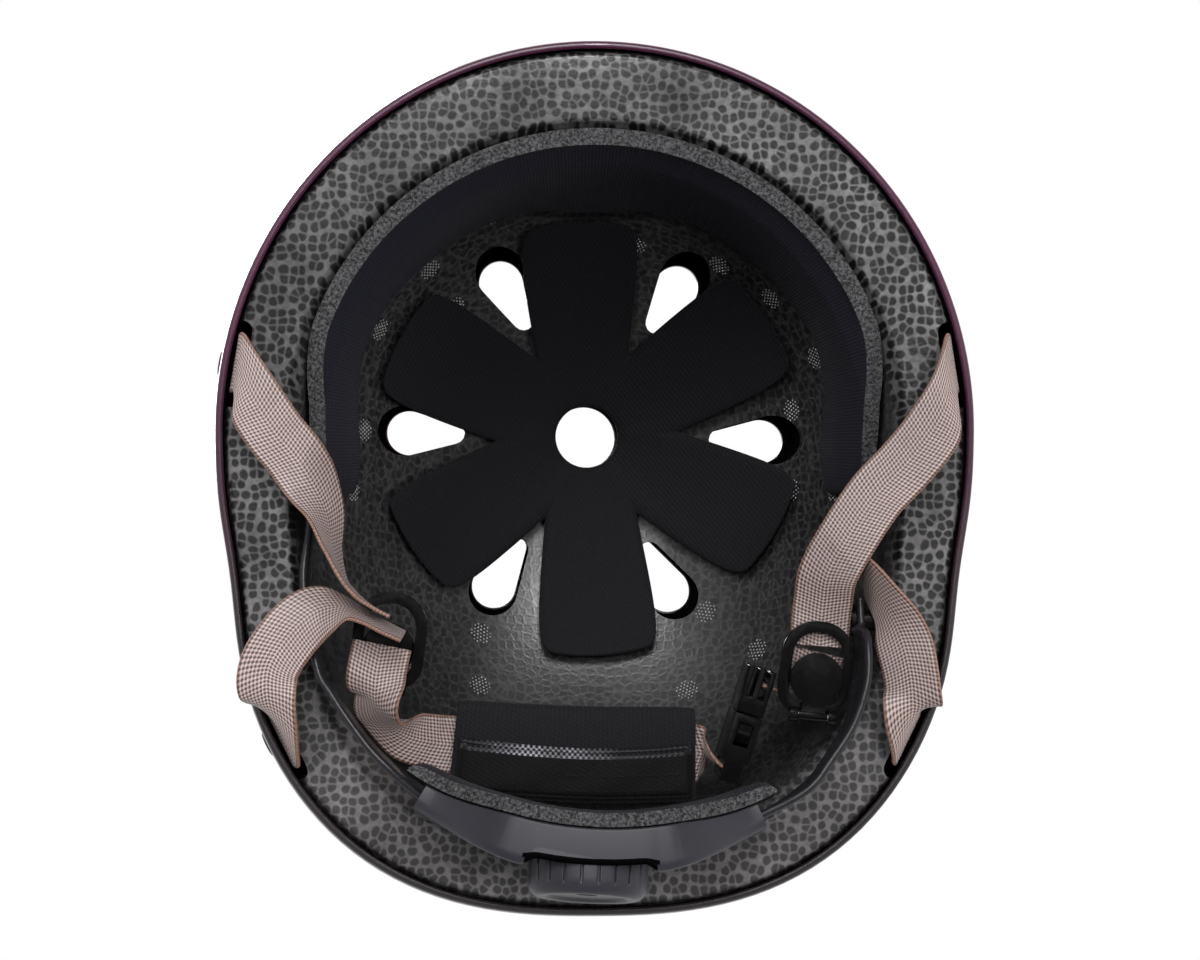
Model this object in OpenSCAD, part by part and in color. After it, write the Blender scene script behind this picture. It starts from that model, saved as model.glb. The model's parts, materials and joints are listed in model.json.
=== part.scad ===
// Bicycle helmet: hard shell, foam liner, loose pads, dial cradle, webbing and buckle.
// Modelled rim down: +X is the wearer's left, -Y the forehead, +Z the crown.
// Sizes are in millimetres. Heights are measured from the front of the rim plane.

/* [Shell] */
// Half the outside width of the shell at its rim
shell_half_w = 110; // [100:0.5:115]
// Widest line to the front of the rim
shell_front = 113; // [107:0.5:118]
// Widest line to the back of the rim
shell_back = 140.5; // [133:0.5:146]
// Squareness of the back of the rim, where 2 is an ellipse
shell_square = 2.6; // [2.3:0.05:2.9]
// Height of the crown above the rim
shell_height = 135; // [130:1:150]
// Height at which the shell is widest
shell_waist = 18; // [8:1:30]
// Squareness of the dome's profile
dome_square = 2.1; // [2:0.05:2.5]
// Thickness of the shell
shell_wall = 2.2; // [2:0.1:4]
// Rise of the rim over the ears
ear_rise = 4; // [0:0.5:8]
// Share by which the shell draws in behind the ears
ear_pinch = 0.022; // [0:0.002:0.03]

/* [Liner] */
// Half the inside width of the liner at its rim
room_half_w = 88.3; // [82:0.1:92]
// Widest line to the front of the room for the head
room_front = 88.3; // [82:0.1:92]
// Widest line to the back of the room for the head
room_back = 119.5; // [112:0.5:122]
// Squareness of the back of the room
room_square = 2.8; // [2.4:0.1:3.2]
// Depth of the room under the crown
room_height = 107; // [100:1:110]
// Gap between shell and liner
liner_gap = 0.4; // [0.2:0.1:1]
// Extra gap between shell and liner at the rim
liner_rim_gap = 0.8; // [0:0.1:2]
// Width of the bevel inside the liner's rim
liner_bevel = 3; // [1:0.5:5]

/* [Vents] */
// Radius of the crown vent
crown_vent_r = 10.5; // [8:0.5:14]
// Radius on which the drop shaped vents stand
vent_ring_r = 49; // [48:0.5:56]
// Width of a drop shaped vent
vent_w = 17; // [12:0.5:20]
// Length of a drop shaped vent
vent_l = 29; // [24:0.5:32]
// Radius of a vent's inner tip
vent_tip_r = 3; // [2:0.5:4]

/* [Pads] */
// Thickness of the brow pad
brow_t = 6; // [4:0.5:7]
// Height of the brow pad at the forehead
brow_h = 47; // [36:1:50]
// Height of the brow pad at its ends
brow_end_h = 30; // [24:1:36]
// Angle from the forehead to each end of the brow pad
brow_reach = 104; // [90:1:108]
// Thickness of the crown pad
crown_pad_t = 5.5; // [4:0.5:7]
// Radius of the crown pad's petal tips
petal_r = 66; // [60:1:66]
// Radius of the tip of the rear petal
rear_petal_r = 70; // [60:1:72]
// Turn of the loose crown pad from its place square in the helmet
crown_pad_turn = -3; // [-5:1:5]
// Radius of the hole in the crown pad
crown_pad_hole_r = 10; // [8:0.5:13]
// Space between liner and pads, which the hook dots fill
pad_gap = 1.6; // [1.4:0.1:1.8]
// Radius of a hook dot
hook_dot_r = 5.5; // [4:0.5:6.5]

/* [Webbing] */
// Width of the webbing
web_w = 17; // [15:0.5:18]
// Thickness of the webbing
web_t = 1.2; // [0.8:0.1:1.4]
// Angle of the front strap anchors behind the widest line
front_anchor_angle = -10.5; // [-14:0.5:-8]
// Angle of the rear strap anchors behind the widest line
rear_anchor_angle = 43.9; // [41:0.1:47]
// Height of the strap rivets above the rim plane
rivet_z = 24; // [20:1:28]
// Radius of a rivet's shank
rivet_r = 2; // [1.5:0.1:2.5]
// Radius of a rivet's head
rivet_head_r = 5; // [4:0.5:6]
// Length of the chin pad
chin_pad_l = 70; // [62:1:72]
// Width of the chin pad
chin_pad_w = 28; // [24:0.5:30]
// Thickness of the chin pad
chin_pad_t = 8; // [6:0.5:9]

/* [Cradle] */
// Radius of the belt channel in plan
cradle_r = 102; // [98:1:106]
// Half the angle that the cradle spans
cradle_half_angle = 27.5; // [26:0.5:29]
// Height of the cradle at the dial
cradle_h = 32; // [30:0.5:36]
// Height of the cradle at its ends
cradle_end_h = 14; // [13.5:0.5:17]
// Width of the channel that holds racks and belts
channel_w = 3.2; // [2.8:0.1:4]
// Thickness of the cradle's back wall
cradle_wall = 2.2; // [1.6:0.1:3]
// Thickness of the cover between channel and pad
cover_wall = 1.6; // [1.2:0.1:2.4]
// Thickness of the cradle pad
cradle_pad_t = 6; // [4:0.5:7]
// Lean of the dial's axis below level
dial_lean = 15; // [10:0.5:18]
// Turn of the loose cradle round the vertical
cradle_yaw = 3.5; // [0:0.5:4]

/* [Dial] */
// Radius of the dial knob
knob_r = 16.6; // [15:0.1:18]
// Length of the dial knob
knob_l = 9.8; // [8:0.1:12]
// Number of grooves round the knob
knob_grooves = 22; // [16:1:28]
// Teeth on the dial's gear
gear_teeth = 10; // [9:1:11]
// Pitch of the rack teeth
rack_pitch = 3; // [2.8:0.1:3.1]
// Radius of the gear's shaft
dial_shaft_r = 2.5; // [2:0.1:3]
// Radial clearance between shaft and bore
shaft_play = 0.06; // [0.02:0.01:0.1]

/* [Belts] */
// Height of a belt
belt_h = 10; // [8:0.5:11]
// Thickness of a belt
belt_t = 2.2; // [1.6:0.1:2.6]
// Radius of a temple anchor's shank
temple_r = 3; // [2:0.1:3.5]

/* [Divider] */
// Width of a strap divider
divider_w = 21; // [20:0.5:22]
// Length of a strap divider
divider_l = 27; // [25:0.5:30]
// Width of the divider's rim
divider_rim = 3.2; // [2.4:0.1:4]
// Thickness of the divider
divider_t = 2.6; // [2:0.1:3.4]
// Radius of the lever's pin
lever_pin_r = 1; // [0.8:0.1:1.3]

/* [Buckle] */
// Width of the buckle
buckle_w = 22; // [20:0.5:25]
// Thickness of the buckle
buckle_t = 8; // [7:0.5:9]
// Length of the socket half
socket_l = 20; // [18:0.5:24]
// Length of the plug half outside the socket
plug_l = 14; // [12:0.5:16]

/* [Hidden] */

// The widest line lies this far in front of the middle of the rim
mid_y = -(shell_back - shell_front) / 2;
// Centre and spread of the rise over the ears
ear_y = 15;
ear_spread = 55;
// Where the pinch behind the ears lies, and how far it spreads
pinch_angle = 22;
pinch_spread = 11;
// Depth of the tuck below the widest line
tuck_h = 90;
// Rings and rows of the faceted domes
round_steps = 60;
dome_rows = 11;
// Clearance of soft pieces and of faces that only meet
near = 0.3;
// Depth of a pocket in the liner for a strap's end
pocket_d = 6.4;
pocket_w = web_w + 8;
pocket_top = rivet_z + 14;
rivet_play = 0.06;
rivet_head_t = 1.6;
washer_t = 1;
washer_r = 6;
tail_r = 3;
tail_t = 0.6;
// Place of the dial's gear in the middle of the channel
dial_at = [-3, 101.5, -24];
gear_r = gear_teeth * rack_pitch / (2 * PI);
tooth_up = 0.9;
tooth_down = 1.15;
rack_back = 2.3;
rack_t = channel_w - 0.7;
play = 0.15;
// Space between the shell and a strap's anchored end
strap_seat = 1.3;
washer_inset = shell_wall + strap_seat + web_t + 2 * near;
anchor_angles = [front_anchor_angle, rear_anchor_angle,
    180 - front_anchor_angle, 180 - rear_anchor_angle];

// A divider stands in the helmet at [place, turn, side of its lever]
left_divider_at = [[63, 54.2, 1.5], 6.6, -1];
right_divider_at = [[-59.2, 45.7, 1.5], 8, 1];
lever_pin_y = divider_l / 2;
lever_pin_z = -divider_t / 2 - 1.7;
ear_r = 2.1;
barrel_half = 4.2;

// The buckle stands on edge, its width upright and its socket end to the rear
buckle_at = [44, 68.2, 15.5];
buckle_turn = 17.5;
buckle_wall = 1.6;
prong_x = 7.4;
window_y = 2.2;
window_l = 7;
slot_l = 2.8;

// Heights of the cradle's edges from the middle of the dial, the lowest below the knob
knob_clear = 1.6;
cradle_low = -knob_r - knob_clear;
cradle_high = cradle_h / 2;
cradle_end_low = -3;
channel_end = cradle_r * sin(cradle_half_angle);
// Wall left above and below the channel
lip = 1.5;
back_y = channel_w / 2 + cradle_wall;
screw_azimuth = 14;
screw_z = 10;
screw_r = 1.1;
post_r = 2.4;
gear_back = rack_t / 2;
knob_at = back_y + 0.4;
// The loose left belt ends short, inside the rear strap
left_temple = [76.2, 41, 8];
right_temple = [-82, 6, 11];
anchor_l = 17;

// Edge of the cradle that meets the table
flat_half = 20;
foot_r = cradle_r + back_y;
foot = from_dial([-flat_half, sqrt(pow(foot_r, 2) - pow(flat_half, 2)) - cradle_r, cradle_low]);
// Middle of the lip at the front of the shell
nose = dome_at(outer_dome(shell_wall / 2), 270, rim_z(mid_y - shell_front) - shell_wall / 2);
// Nose down tilt that stands the lip and the cradle on one plane
stance = atan((nose[2] - foot[2]) / (foot[1] - nose[1]));
stand_z = -(nose[1] * sin(stance) + nose[2] * cos(stance));
// The origin lies under the middle, between the brow of the shell and the knob
brow_y = min([for (z = [0:2:60]) stood_y(dome_at(outer_dome(0), 270, z))]);
nape_y = max([for (z = [0:2:60]) stood_y(dome_at(outer_dome(0), 90, z))]);
knob_y = max([for (p = [[knob_l, knob_r - 3.4], [knob_l * 0.8, knob_r - 1.4],
    [knob_l * 0.55, knob_r]])
    stood_y(from_dial([0, knob_at + p[0], p[1]]))]);
stand_y = -(brow_y + max(nape_y, knob_y)) / 2;

plum = [0.16, 0.07, 0.12];
foam_grey = [0.33, 0.33, 0.34];
pad_black = [0.08, 0.08, 0.12];
webbing = [0.47, 0.41, 0.41];
slate = [0.29, 0.28, 0.32];
gloss_black = [0.05, 0.05, 0.06];
steel = [0.6, 0.6, 0.62];

// Stands a helmet piece on the table, front rim and cradle down.
function stood_y(p) = p[1] * cos(stance) - p[2] * sin(stance);

module stood() {
    translate([0, stand_y, stand_z])
        rotate([stance, 0, 0])
            children();
}

// A dome is [half width, front, back, squareness, waist height, top, profile squareness, pinch].
function outer_dome(inset) = [shell_half_w - inset, shell_front - inset, shell_back - inset,
    shell_square, shell_waist, shell_height - inset, dome_square, ear_pinch];
function room_dome(inset) = [room_half_w - inset, room_front - inset, room_back - inset,
    room_square, 0, room_height - inset, 2, 0];

function plan_r(dome, a) =
    let (back = sin(a) > 0)
    let (n = back ? dome[3] : 2)
    let (l = back ? dome[2] : dome[1])
    let (pinch = dome[7] * exp(-pow((asin(sin(a)) - pinch_angle) / pinch_spread, 2)))
    (1 - pinch) * pow(pow(abs(cos(a)) / dome[0], n) + pow(abs(sin(a)) / l, n), -1 / n);

function rise(dome, z) =
    let (up = (z - dome[4]) / (z > dome[4] ? dome[5] - dome[4] : tuck_h))
    pow(max(0, 1 - pow(abs(up), dome[6])), 1 / dome[6]);

function dome_at(dome, a, z) =
    let (r = plan_r(dome, a) * rise(dome, z))
    [r * cos(a), mid_y + r * sin(a), z];

// Height of the rim at a given distance back.
function rim_z(y) = ear_rise * exp(-pow((y - ear_y) / ear_spread, 2));
function rim_at(dome, a) = rim_z(mid_y + plan_r(dome, a) * sin(a));

// One ring of a dome, a share of the way from its rim up to its top.
function dome_ring(dome, share, lift = 0) = [for (i = [0:round_steps - 1])
    let (a = 360 * i / round_steps)
    let (low = rim_at(dome, a) + lift)
    dome_at(dome, a, low + (dome[5] - low) * sin(90 * share))];

function flat(lists) = [for (l = lists) for (p = l) p];

// Faces between closed rings of n points, which follow one another in the list.
function ring_faces(rings, n, first = 0) = flat([for (k = [0:rings - 2]) flat([for (i = [0:n - 1])
    let (j = (i + 1) % n)
    let (a = first + k * n)
    [[a + i, a + n + j, a + n + i], [a + i, a + j, a + n + j]]])]);

// A cup shaped solid: rings from the outer top down, round the lip and up inside.
module cup(rings, outer_top, inner_top) {
    n = round_steps;
    m = len(rings);
    points = concat(flat(rings), [outer_top, inner_top]);
    faces = concat(
        ring_faces(m, n),
        [for (i = [0:n - 1]) [m * n, (i + 1) % n, i]],
        [for (i = [0:n - 1]) [m * n + 1, (m - 1) * n + i, (m - 1) * n + (i + 1) % n]]);
    polyhedron(points, faces);
}

// A round end, straight flanks and a small inner tip that points at the crown.
module drop(wide, long, tip) {
    big = wide / 2;
    gap = long - big - tip;
    lean = acos((big - tip) / gap);
    steps = 8;
    outer = [for (i = [-steps:steps]) let (a = i * (180 - lean) / steps)
        [gap / 2 + big * cos(a), big * sin(a)]];
    inner = [for (i = [-3:3]) let (a = 180 + i * lean / 3)
        [-gap / 2 + tip * cos(a), tip * sin(a)]];
    polygon(concat(outer, inner));
}

module vents(grow = 0) {
    translate([0, mid_y, 0]) {
        translate([0, 0, room_height / 2])
            cylinder(r = crown_vent_r + grow, h = shell_height, $fn = 64);
        for (i = [0:5])
            rotate(60 * i)
                translate([vent_ring_r, 0, room_height / 3])
                    linear_extrude(shell_height)
                        drop(vent_w + 2 * grow, vent_l + 2 * grow, vent_tip_r + grow);
    }
}

// Outward direction of the rim at an angle, which the superellipse turns from the radius.
function rim_out(a) =
    let (dome = outer_dome(0))
    let (p = dome_at(dome, a, shell_waist))
    let (n = sin(a) > 0 ? dome[3] : 2)
    let (l = sin(a) > 0 ? dome[2] : dome[1])
    atan2(sign(p[1] - mid_y) * pow(abs(p[1] - mid_y) / l, n - 1) / l,
        sign(p[0]) * pow(abs(p[0]) / dome[0], n - 1) / dome[0]);

// Places children with +X outward at a rivet, on the shell or inside it.
module at_anchor(a, inset = 0) {
    translate(dome_at(outer_dome(0), a, rivet_z))
        rotate(rim_out(a))
            translate([-inset, 0, 0])
                children();
}

module outer_shell() {
    color(plum)
    stood()
        difference() {
            cup(concat(
                [for (k = [1:dome_rows]) dome_ring(outer_dome(0), 1 - k / dome_rows)],
                [for (a = [30:30:150])
                    dome_ring(outer_dome(shell_wall / 2 * (1 - cos(a))), 0, -shell_wall / 2 * sin(a))],
                [for (k = [dome_rows:-1:1]) dome_ring(outer_dome(shell_wall), 1 - k / dome_rows)]),
                [0, mid_y, shell_height], [0, mid_y, shell_height - shell_wall]);
            vents();
            for (a = anchor_angles)
                at_anchor(a)
                    rotate([0, -90, 0])
                        cylinder(r = rivet_r + rivet_play, h = 12, center = true, $fn = 32);
        }
}

module foam_liner() {
    inset = shell_wall + liner_gap;
    rim_inset = inset + liner_rim_gap;
    color(foam_grey)
    stood()
        difference() {
            cup(concat(
                [for (k = [1:dome_rows - 1]) dome_ring(outer_dome(inset), 1 - k / dome_rows)],
                [dome_ring(outer_dome(rim_inset), 0, 2),
                 dome_ring(outer_dome(rim_inset + 1.2), 0, 0.2),
                 dome_ring(room_dome(-1), 0, 0.2),
                 dome_ring(room_dome(0), 0, 1)],
                [dome_ring(room_dome(liner_bevel), 0, 9)],
                [for (k = [dome_rows - 1:-1:1]) dome_ring(room_dome(liner_bevel), 1 - k / dome_rows)]),
                [0, mid_y, shell_height - inset], [0, mid_y, room_height - liner_bevel]);
            vents(0.5);
            for (a = anchor_angles)
                at_anchor(a, shell_wall + pocket_d)
                    translate([0, -pocket_w / 2, -rivet_z - 4])
                        cube([20, pocket_w, pocket_top + 4]);
            for (s = [-1, 1])
                temple(s)
                    cylinder(r = temple_r, h = 40, center = true, $fn = 32);
        }
}

module strap_rivets() {
    reach = washer_inset + washer_t + 0.05;
    color(plum)
    stood()
        for (a = anchor_angles)
            at_anchor(a)
                rotate([0, 90, 0]) {
                    translate([0, 0, 0.1])
                        cylinder(r1 = rivet_head_r, r2 = rivet_head_r - 1.4, h = rivet_head_t, $fn = 48);
                    translate([0, 0, -reach])
                        cylinder(r = rivet_r, h = reach + 0.2, $fn = 32);
                    translate([0, 0, -reach - tail_t])
                        cylinder(r = tail_r, h = tail_t, $fn = 32);
                }
}

module strap_washers() {
    color(steel)
    stood()
        for (a = anchor_angles)
            at_anchor(a, washer_inset)
                rotate([0, -90, 0])
                    difference() {
                        cylinder(r = washer_r, h = washer_t, $fn = 48);
                        translate([0, 0, -1])
                            cylinder(r = rivet_r + rivet_play, h = washer_t + 2, $fn = 32);
                    }
}

function unit(v) = v / norm(v);

// A smooth curve through a list of points, numbers or vectors alike.
function between(a, b, c, d, t) =
    0.5 * (2 * b + (c - a) * t + (2 * a - 5 * b + 4 * c - d) * t * t
        + (3 * b - a - 3 * c + d) * t * t * t);
function smooth(list, steps) = let (m = len(list) - 1) concat(
    flat([for (i = [0:m - 1]) [for (k = [0:steps - 1])
        between(list[max(i - 1, 0)], list[i], list[i + 1], list[min(i + 2, m)], k / steps)]]),
    [list[m]]);

// Frames along a run of stations, each [point, direction across]: point, across, normal.
// A third value of 0 in a station lets the strip cross its path at a slant there, as in a fold.
function frames(run, steps) =
    let (p = smooth([for (s = run) s[0]], steps))
    let (d = smooth([for (s = run) s[1]], steps))
    let (square = smooth([for (s = run) is_undef(s[2]) ? 1 : s[2]], steps))
    [for (i = [0:len(p) - 1])
        let (t = unit(p[min(i + 1, len(p) - 1)] - p[max(i - 1, 0)]))
        let (u = unit(d[i] - t * (d[i] * t) * square[i]))
        [p[i], u, unit(cross(t, u))]];

// A solid swept through rings of n points, with flat ends.
module sweep(rings, n) {
    m = len(rings);
    last = (m - 1) * n;
    polyhedron(flat(rings), concat(ring_faces(m, n),
        [for (i = [1:n - 2]) [0, i + 1, i]],
        [for (i = [1:n - 2]) [last, last + i, last + i + 1]]));
}

// A flat strip of webbing or plastic along a run of stations.
module ribbon(run, wide, thick, steps = 3) {
    sweep([for (f = frames(run, steps))
        let (u = f[1] * wide / 2, v = f[2] * thick / 2)
        [f[0] + u + v, f[0] + u - v, f[0] - u - v, f[0] - u + v]], 4);
}

// A closed ring of rings, such as a sleeve or a pad with a hole.
module ring_loop(rings, n) {
    m = len(rings);
    polyhedron(flat(rings), flat([for (k = [0:m - 1]) flat([for (i = [0:n - 1])
        let (j = (i + 1) % n, a = k * n, b = ((k + 1) % m) * n)
        [[a + i, b + j, b + i], [a + i, a + j, b + j]]])]));
}

// A pad between two grids of points, back and face, row by row.
module slab(back, face) {
    rows = len(back);
    cols = len(back[0]);
    half = rows * cols;
    cells = flat([for (r = [0:rows - 2]) [for (c = [0:cols - 2]) r * cols + c]]);
    edge = concat([for (c = [0:cols - 2]) c],
        [for (r = [0:rows - 2]) r * cols + cols - 1],
        [for (c = [cols - 1:-1:1]) (rows - 1) * cols + c],
        [for (r = [rows - 1:-1:1]) r * cols]);
    polyhedron(concat(flat(back), flat(face)), concat(
        flat([for (i = cells) [[i, i + cols, i + cols + 1], [i, i + cols + 1, i + 1]]]),
        flat([for (i = cells) [[half + i, half + i + cols + 1, half + i + cols],
            [half + i, half + i + 1, half + i + cols + 1]]]),
        flat([for (k = [0:len(edge) - 1])
            let (a = edge[k], b = edge[(k + 1) % len(edge)])
            [[a, b, half + b], [a, half + b, half + a]]])));
}

// The end of a strap in its pocket, from the top down to the rim.
function anchored(a) =
    let (o = rim_out(a))
    let (inset = shell_wall + strap_seat + web_t / 2)
    [for (s = [[pocket_top - 6, 0], [rivet_z, 0], [8, 0.3], [-2.5, 0.8]])
        [dome_at(outer_dome(0), a, s[0]) - (inset + s[1]) * [cos(o), sin(o), 0],
            [-sin(o), cos(o), 0], s[0] < 0 ? 0 : 1]];

left_front_run = concat(anchored(front_anchor_angle), [
    [[99.2, -21.5, -5.8], [0.5, 0.85, 0], 0],
    [[94.8, -13, -5.4], [0.72, 0.69, 0], 0.3],
    [[87.5, -4, -4.8], [0.77, 0.63, 0]],
    [[79, 5, -4.8], [0.88, 0.47, 0]],
    [[71, 17, -4.4], [0.9, 0.43, -0.05]],
    [[65.9, 27, -2.2], [0.92, 0.27, -0.15]],
    [[65, 35, 2], [0.96, 0.12, -0.1]],
    [[64.5, 42, 3.9], [0.99, 0.1, 0]],
    [[64, 48, 3.8], [0.99, 0.11, 0]]]);

left_rear_run = concat(anchored(rear_anchor_angle), [
    [[89, 64, -9], [-0.62, 0.7, 0.25]],
    [[88.6, 56, -9.2], [-0.77, 0.4, 0.45]],
    [[86.8, 47, -7.6], [-0.87, 0.13, 0.47]],
    [[83.6, 38, -4], [-0.55, -0.1, 0.83]],
    [[78.4, 29.3, 2], [-0.3, 0.1, 0.95]],
    [[74.4, 25, 8.5], [0.1, 0.1, 0.99]],
    [[70, 27.6, 12], [0.5, 0.1, 0.85]],
    [[66.3, 33.5, 12], [0.85, 0.1, 0.5]],
    [[64.9, 40, 9], [0.96, 0.1, 0.15]],
    [[64.5, 47, 5.4], [0.99, 0.11, 0]]]);

right_front_run = concat(anchored(180 - front_anchor_angle), [
    [[-97.8, -24, -6], [0.6, -0.78, 0], 0],
    [[-91.4, -13.8, -6], [0.8, -0.6, 0]],
    [[-84.1, -4.5, -5.5], [0.8, -0.6, 0.1]],
    [[-77.8, 7.5, -4], [0.6, -0.25, 0.75]],
    [[-75.3, 19, -6], [0.22, -0.05, 0.97]],
    [[-72.1, 27.4, -8.5], [0, 0, 1]],
    [[-68, 32.6, -9.2], [-0.05, 0, 1]],
    [[-63.5, 36, -9.3], [-0.05, 0.05, 1]],
    [[-58.6, 38.6, -9.3], [-0.05, 0.05, 1]]]);

right_rear_run = concat(anchored(180 - rear_anchor_angle), [
    [[-92, 62.5, -11.5], [-0.78, -0.62, 0]],
    [[-92, 53, -13], [-0.69, -0.72, 0]],
    [[-87, 44.5, -12.8], [-0.64, -0.77, 0.05]],
    [[-81.5, 38.8, -12], [-0.5, -0.8, 0.3]],
    [[-76.5, 36.4, -11], [-0.28, -0.73, 0.62]],
    [[-71.2, 36.2, -10], [-0.2, -0.38, 0.9]],
    [[-66.2, 38.3, -9.4], [-0.1, -0.22, 0.96]],
    [[-60.5, 41.5, -9.2], [-0.05, -0.15, 0.98]],
    [[-54.8, 44.2, -9.2], [0, -0.1, 0.99]]]);

// The chin strap's middle stretch, which runs inside the chin pad
chin_run = [
    [[28.8 - chin_pad_l, 77, 13], [0, 1, 0.1]],
    [[-20, 79, 13], [0, 1, 0]],
    [[0, 80, 13], [0, 1, 0]],
    [[17.5, 80, 13], [0, 1, 0]],
    [[28.8, 79.8, 13.1], [0, 1, 0.05]]];

chin_lead = [
    [[-61, 47, -2.8], [-0.88, -0.46, 0]],
    [[-62.6, 56, -4.8], [-0.9, -0.42, 0]],
    [[-62.4, 63.8, -3.4], [-0.6, -0.1, 0.7]],
    [[-60.5, 69.5, 6.5], [-0.1, 0.45, 0.88]],
    [[-54.5, 74, 11], [0.15, 0.85, 0.5]],
    [[-48, 76, 12.6], [0.05, 0.95, 0.25]]];

right_chin_run = concat(chin_lead, chin_run, [
    [[31.4, 80, 13.8], [0, 0.75, 0.65], 0],
    [[33.4, 81.2, 15], [0, 0.2, 0.98], 0],
    [[35.6, 82.5, 15.5], [0, 0, 1]],
    [[38.9, 83.8, 15.5], [0, 0, 1]]]);

left_chin_run = [
    [[63.8, 50, 7], [0.99, 0.1, 0]],
    [[62, 56.5, 9], [0.9, 0.1, 0.4]],
    [[60, 60.6, 12], [0.55, 0.1, 0.83]],
    [[56.6, 61.8, 15.2], [0.05, 0, 1]],
    [[53, 61.2, 15.5], [0, 0, 1]],
    [[48, 59.55, 15.5], [0, 0, 1]]];

module strap(run) {
    color(webbing)
    stood()
        ribbon(run, web_w, web_t);
}

module anchored_strap(run, a) {
    color(webbing)
    stood()
        difference() {
            ribbon(run, web_w, web_t);
            at_anchor(a)
                rotate([0, -90, 0])
                    cylinder(r = rivet_r + near, h = 2 * pocket_d, center = true, $fn = 32);
        }
}

module left_front_strap() { anchored_strap(left_front_run, front_anchor_angle); }
module left_rear_strap() { anchored_strap(left_rear_run, rear_anchor_angle); }
module right_front_strap() { anchored_strap(right_front_run, 180 - front_anchor_angle); }
module right_rear_strap() { anchored_strap(right_rear_run, 180 - rear_anchor_angle); }
module left_chin_strap() { strap(left_chin_run); }
module right_chin_strap() { strap(right_chin_run); }

// Fabric sleeve round the chin strap, fuller in the middle than at its hems.
module chin_pad() {
    steps = 3;
    whole = frames(right_chin_run, steps);
    last = steps * (len(chin_run) - 1);
    run = [for (i = [0:last]) whole[steps * len(chin_lead) + i]];
    n = 16;
    function loop(f, wide, thick, square) = [for (i = [0:n - 1])
        let (a = -360 * i / n)
        f[0] + f[1] * wide / 2 * sign(cos(a)) * pow(abs(cos(a)), 2 / square)
            + f[2] * thick / 2 * sign(sin(a)) * pow(abs(sin(a)), 2 / square)];
    color(pad_black)
    stood()
        ring_loop(concat(
            [for (i = [0:last])
                let (full = pow(sin(180 * i / last), 0.5))
                loop(run[i], chin_pad_w - 2 + 2 * full, chin_pad_t - 2.5 + 2.5 * full, 3)],
            [for (i = [last:-1:0]) loop(run[i], web_w + 1.6, web_t + 1.6, 8)]), n);
}

module at_divider(place) {
    stood()
        translate(place[0])
            rotate(place[1])
                scale([1, 1, -place[2]])
                    children();
}

module divider_outline(grow = 0) {
    hull() {
        for (end = [[-1, 10], [1, 7]])
            for (s = [-1, 1])
                translate([s * (divider_w / 2 - end[1]), end[0] * (divider_l / 2 - end[1])])
                    circle(r = end[1] + grow, $fn = 48);
    }
}

module divider(place) {
    color(gloss_black)
    at_divider(place)
        difference() {
            union() {
                translate([0, 0, -divider_t / 2])
                    linear_extrude(divider_t)
                        difference() {
                            divider_outline();
                            divider_outline(-divider_rim);
                        }
                for (s = [-1, 1])
                    translate([s * (barrel_half + play + 1.1), lever_pin_y, 0]) {
                        rotate([0, 90, 0])
                            translate([-lever_pin_z, 0, -1.1])
                                cylinder(r = ear_r, h = 2.2, $fn = 32);
                        translate([-1.1, -ear_r, lever_pin_z])
                            cube([2.2, ear_r * 2, -lever_pin_z - divider_t / 2 + 1]);
                    }
            }
            lever_bore();
        }
}

module lever_bore() {
    translate([0, lever_pin_y, lever_pin_z])
        rotate([0, 90, 0])
            cylinder(r = lever_pin_r + shaft_play, h = divider_w, center = true, $fn = 32);
}

module lever_pin(place) {
    color(steel)
    at_divider(place)
        translate([0, lever_pin_y, lever_pin_z])
            rotate([0, 90, 0])
                cylinder(r = lever_pin_r, h = 2 * barrel_half + 4.4, center = true, $fn = 32);
}

// Oval flip lever, whose barrel turns on the pin between the divider's ears.
module lever(place) {
    oval_x = 7.6;
    oval_y = 7.4;
    oval_at = lever_pin_y - oval_y - 3.2;
    thick = 2.2;
    top = lever_pin_z + thick / 2;
    color(gloss_black)
    at_divider(place)
        difference() {
            union() {
                translate([0, 0, top - thick])
                    linear_extrude(thick)
                        union() {
                            polygon([for (i = [0:35])
                                [oval_x * cos(10 * i), oval_at + oval_y * sin(10 * i)]]);
                            translate([-3.4, oval_at])
                                square([6.8, lever_pin_y - oval_at]);
                        }
                translate([0, lever_pin_y, lever_pin_z])
                    rotate([0, 90, 0])
                        cylinder(r = 1.6, h = 2 * barrel_half, center = true, $fn = 32);
            }
            lever_bore();
        }
}

module left_divider() { divider(left_divider_at); }
module right_divider() { divider(right_divider_at); }
module left_lever_pin() { lever_pin(left_divider_at); }
module right_lever_pin() { lever_pin(right_divider_at); }
module left_lever() { lever(left_divider_at); }
module right_lever() { lever(right_divider_at); }

module at_buckle() {
    stood()
        translate(buckle_at)
            rotate(buckle_turn)
                rotate([0, -90, 0])
                    children();
}

module centred_box(x, y, low, high) {
    translate([-x / 2, low, -y / 2])
        cube([x, high - low, y]);
}

module buckle_socket() {
    inner_t = buckle_t - 2 * buckle_wall;
    inner_w = buckle_w - 2 * buckle_wall;
    color(gloss_black)
    at_buckle()
        difference() {
            union() {
                centred_box(buckle_w, buckle_t, 0, socket_l - 6);
                centred_box(buckle_w, buckle_t - 2.4, socket_l - 6, socket_l);
            }
            centred_box(inner_w, inner_t, -1, socket_l - 7.5);
            centred_box(buckle_w + 2, inner_t - 0.4, window_y, window_y + window_l);
            centred_box(web_w + 1, buckle_t + 2, socket_l - 5, socket_l - 5 + slot_l);
        }
}

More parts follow.
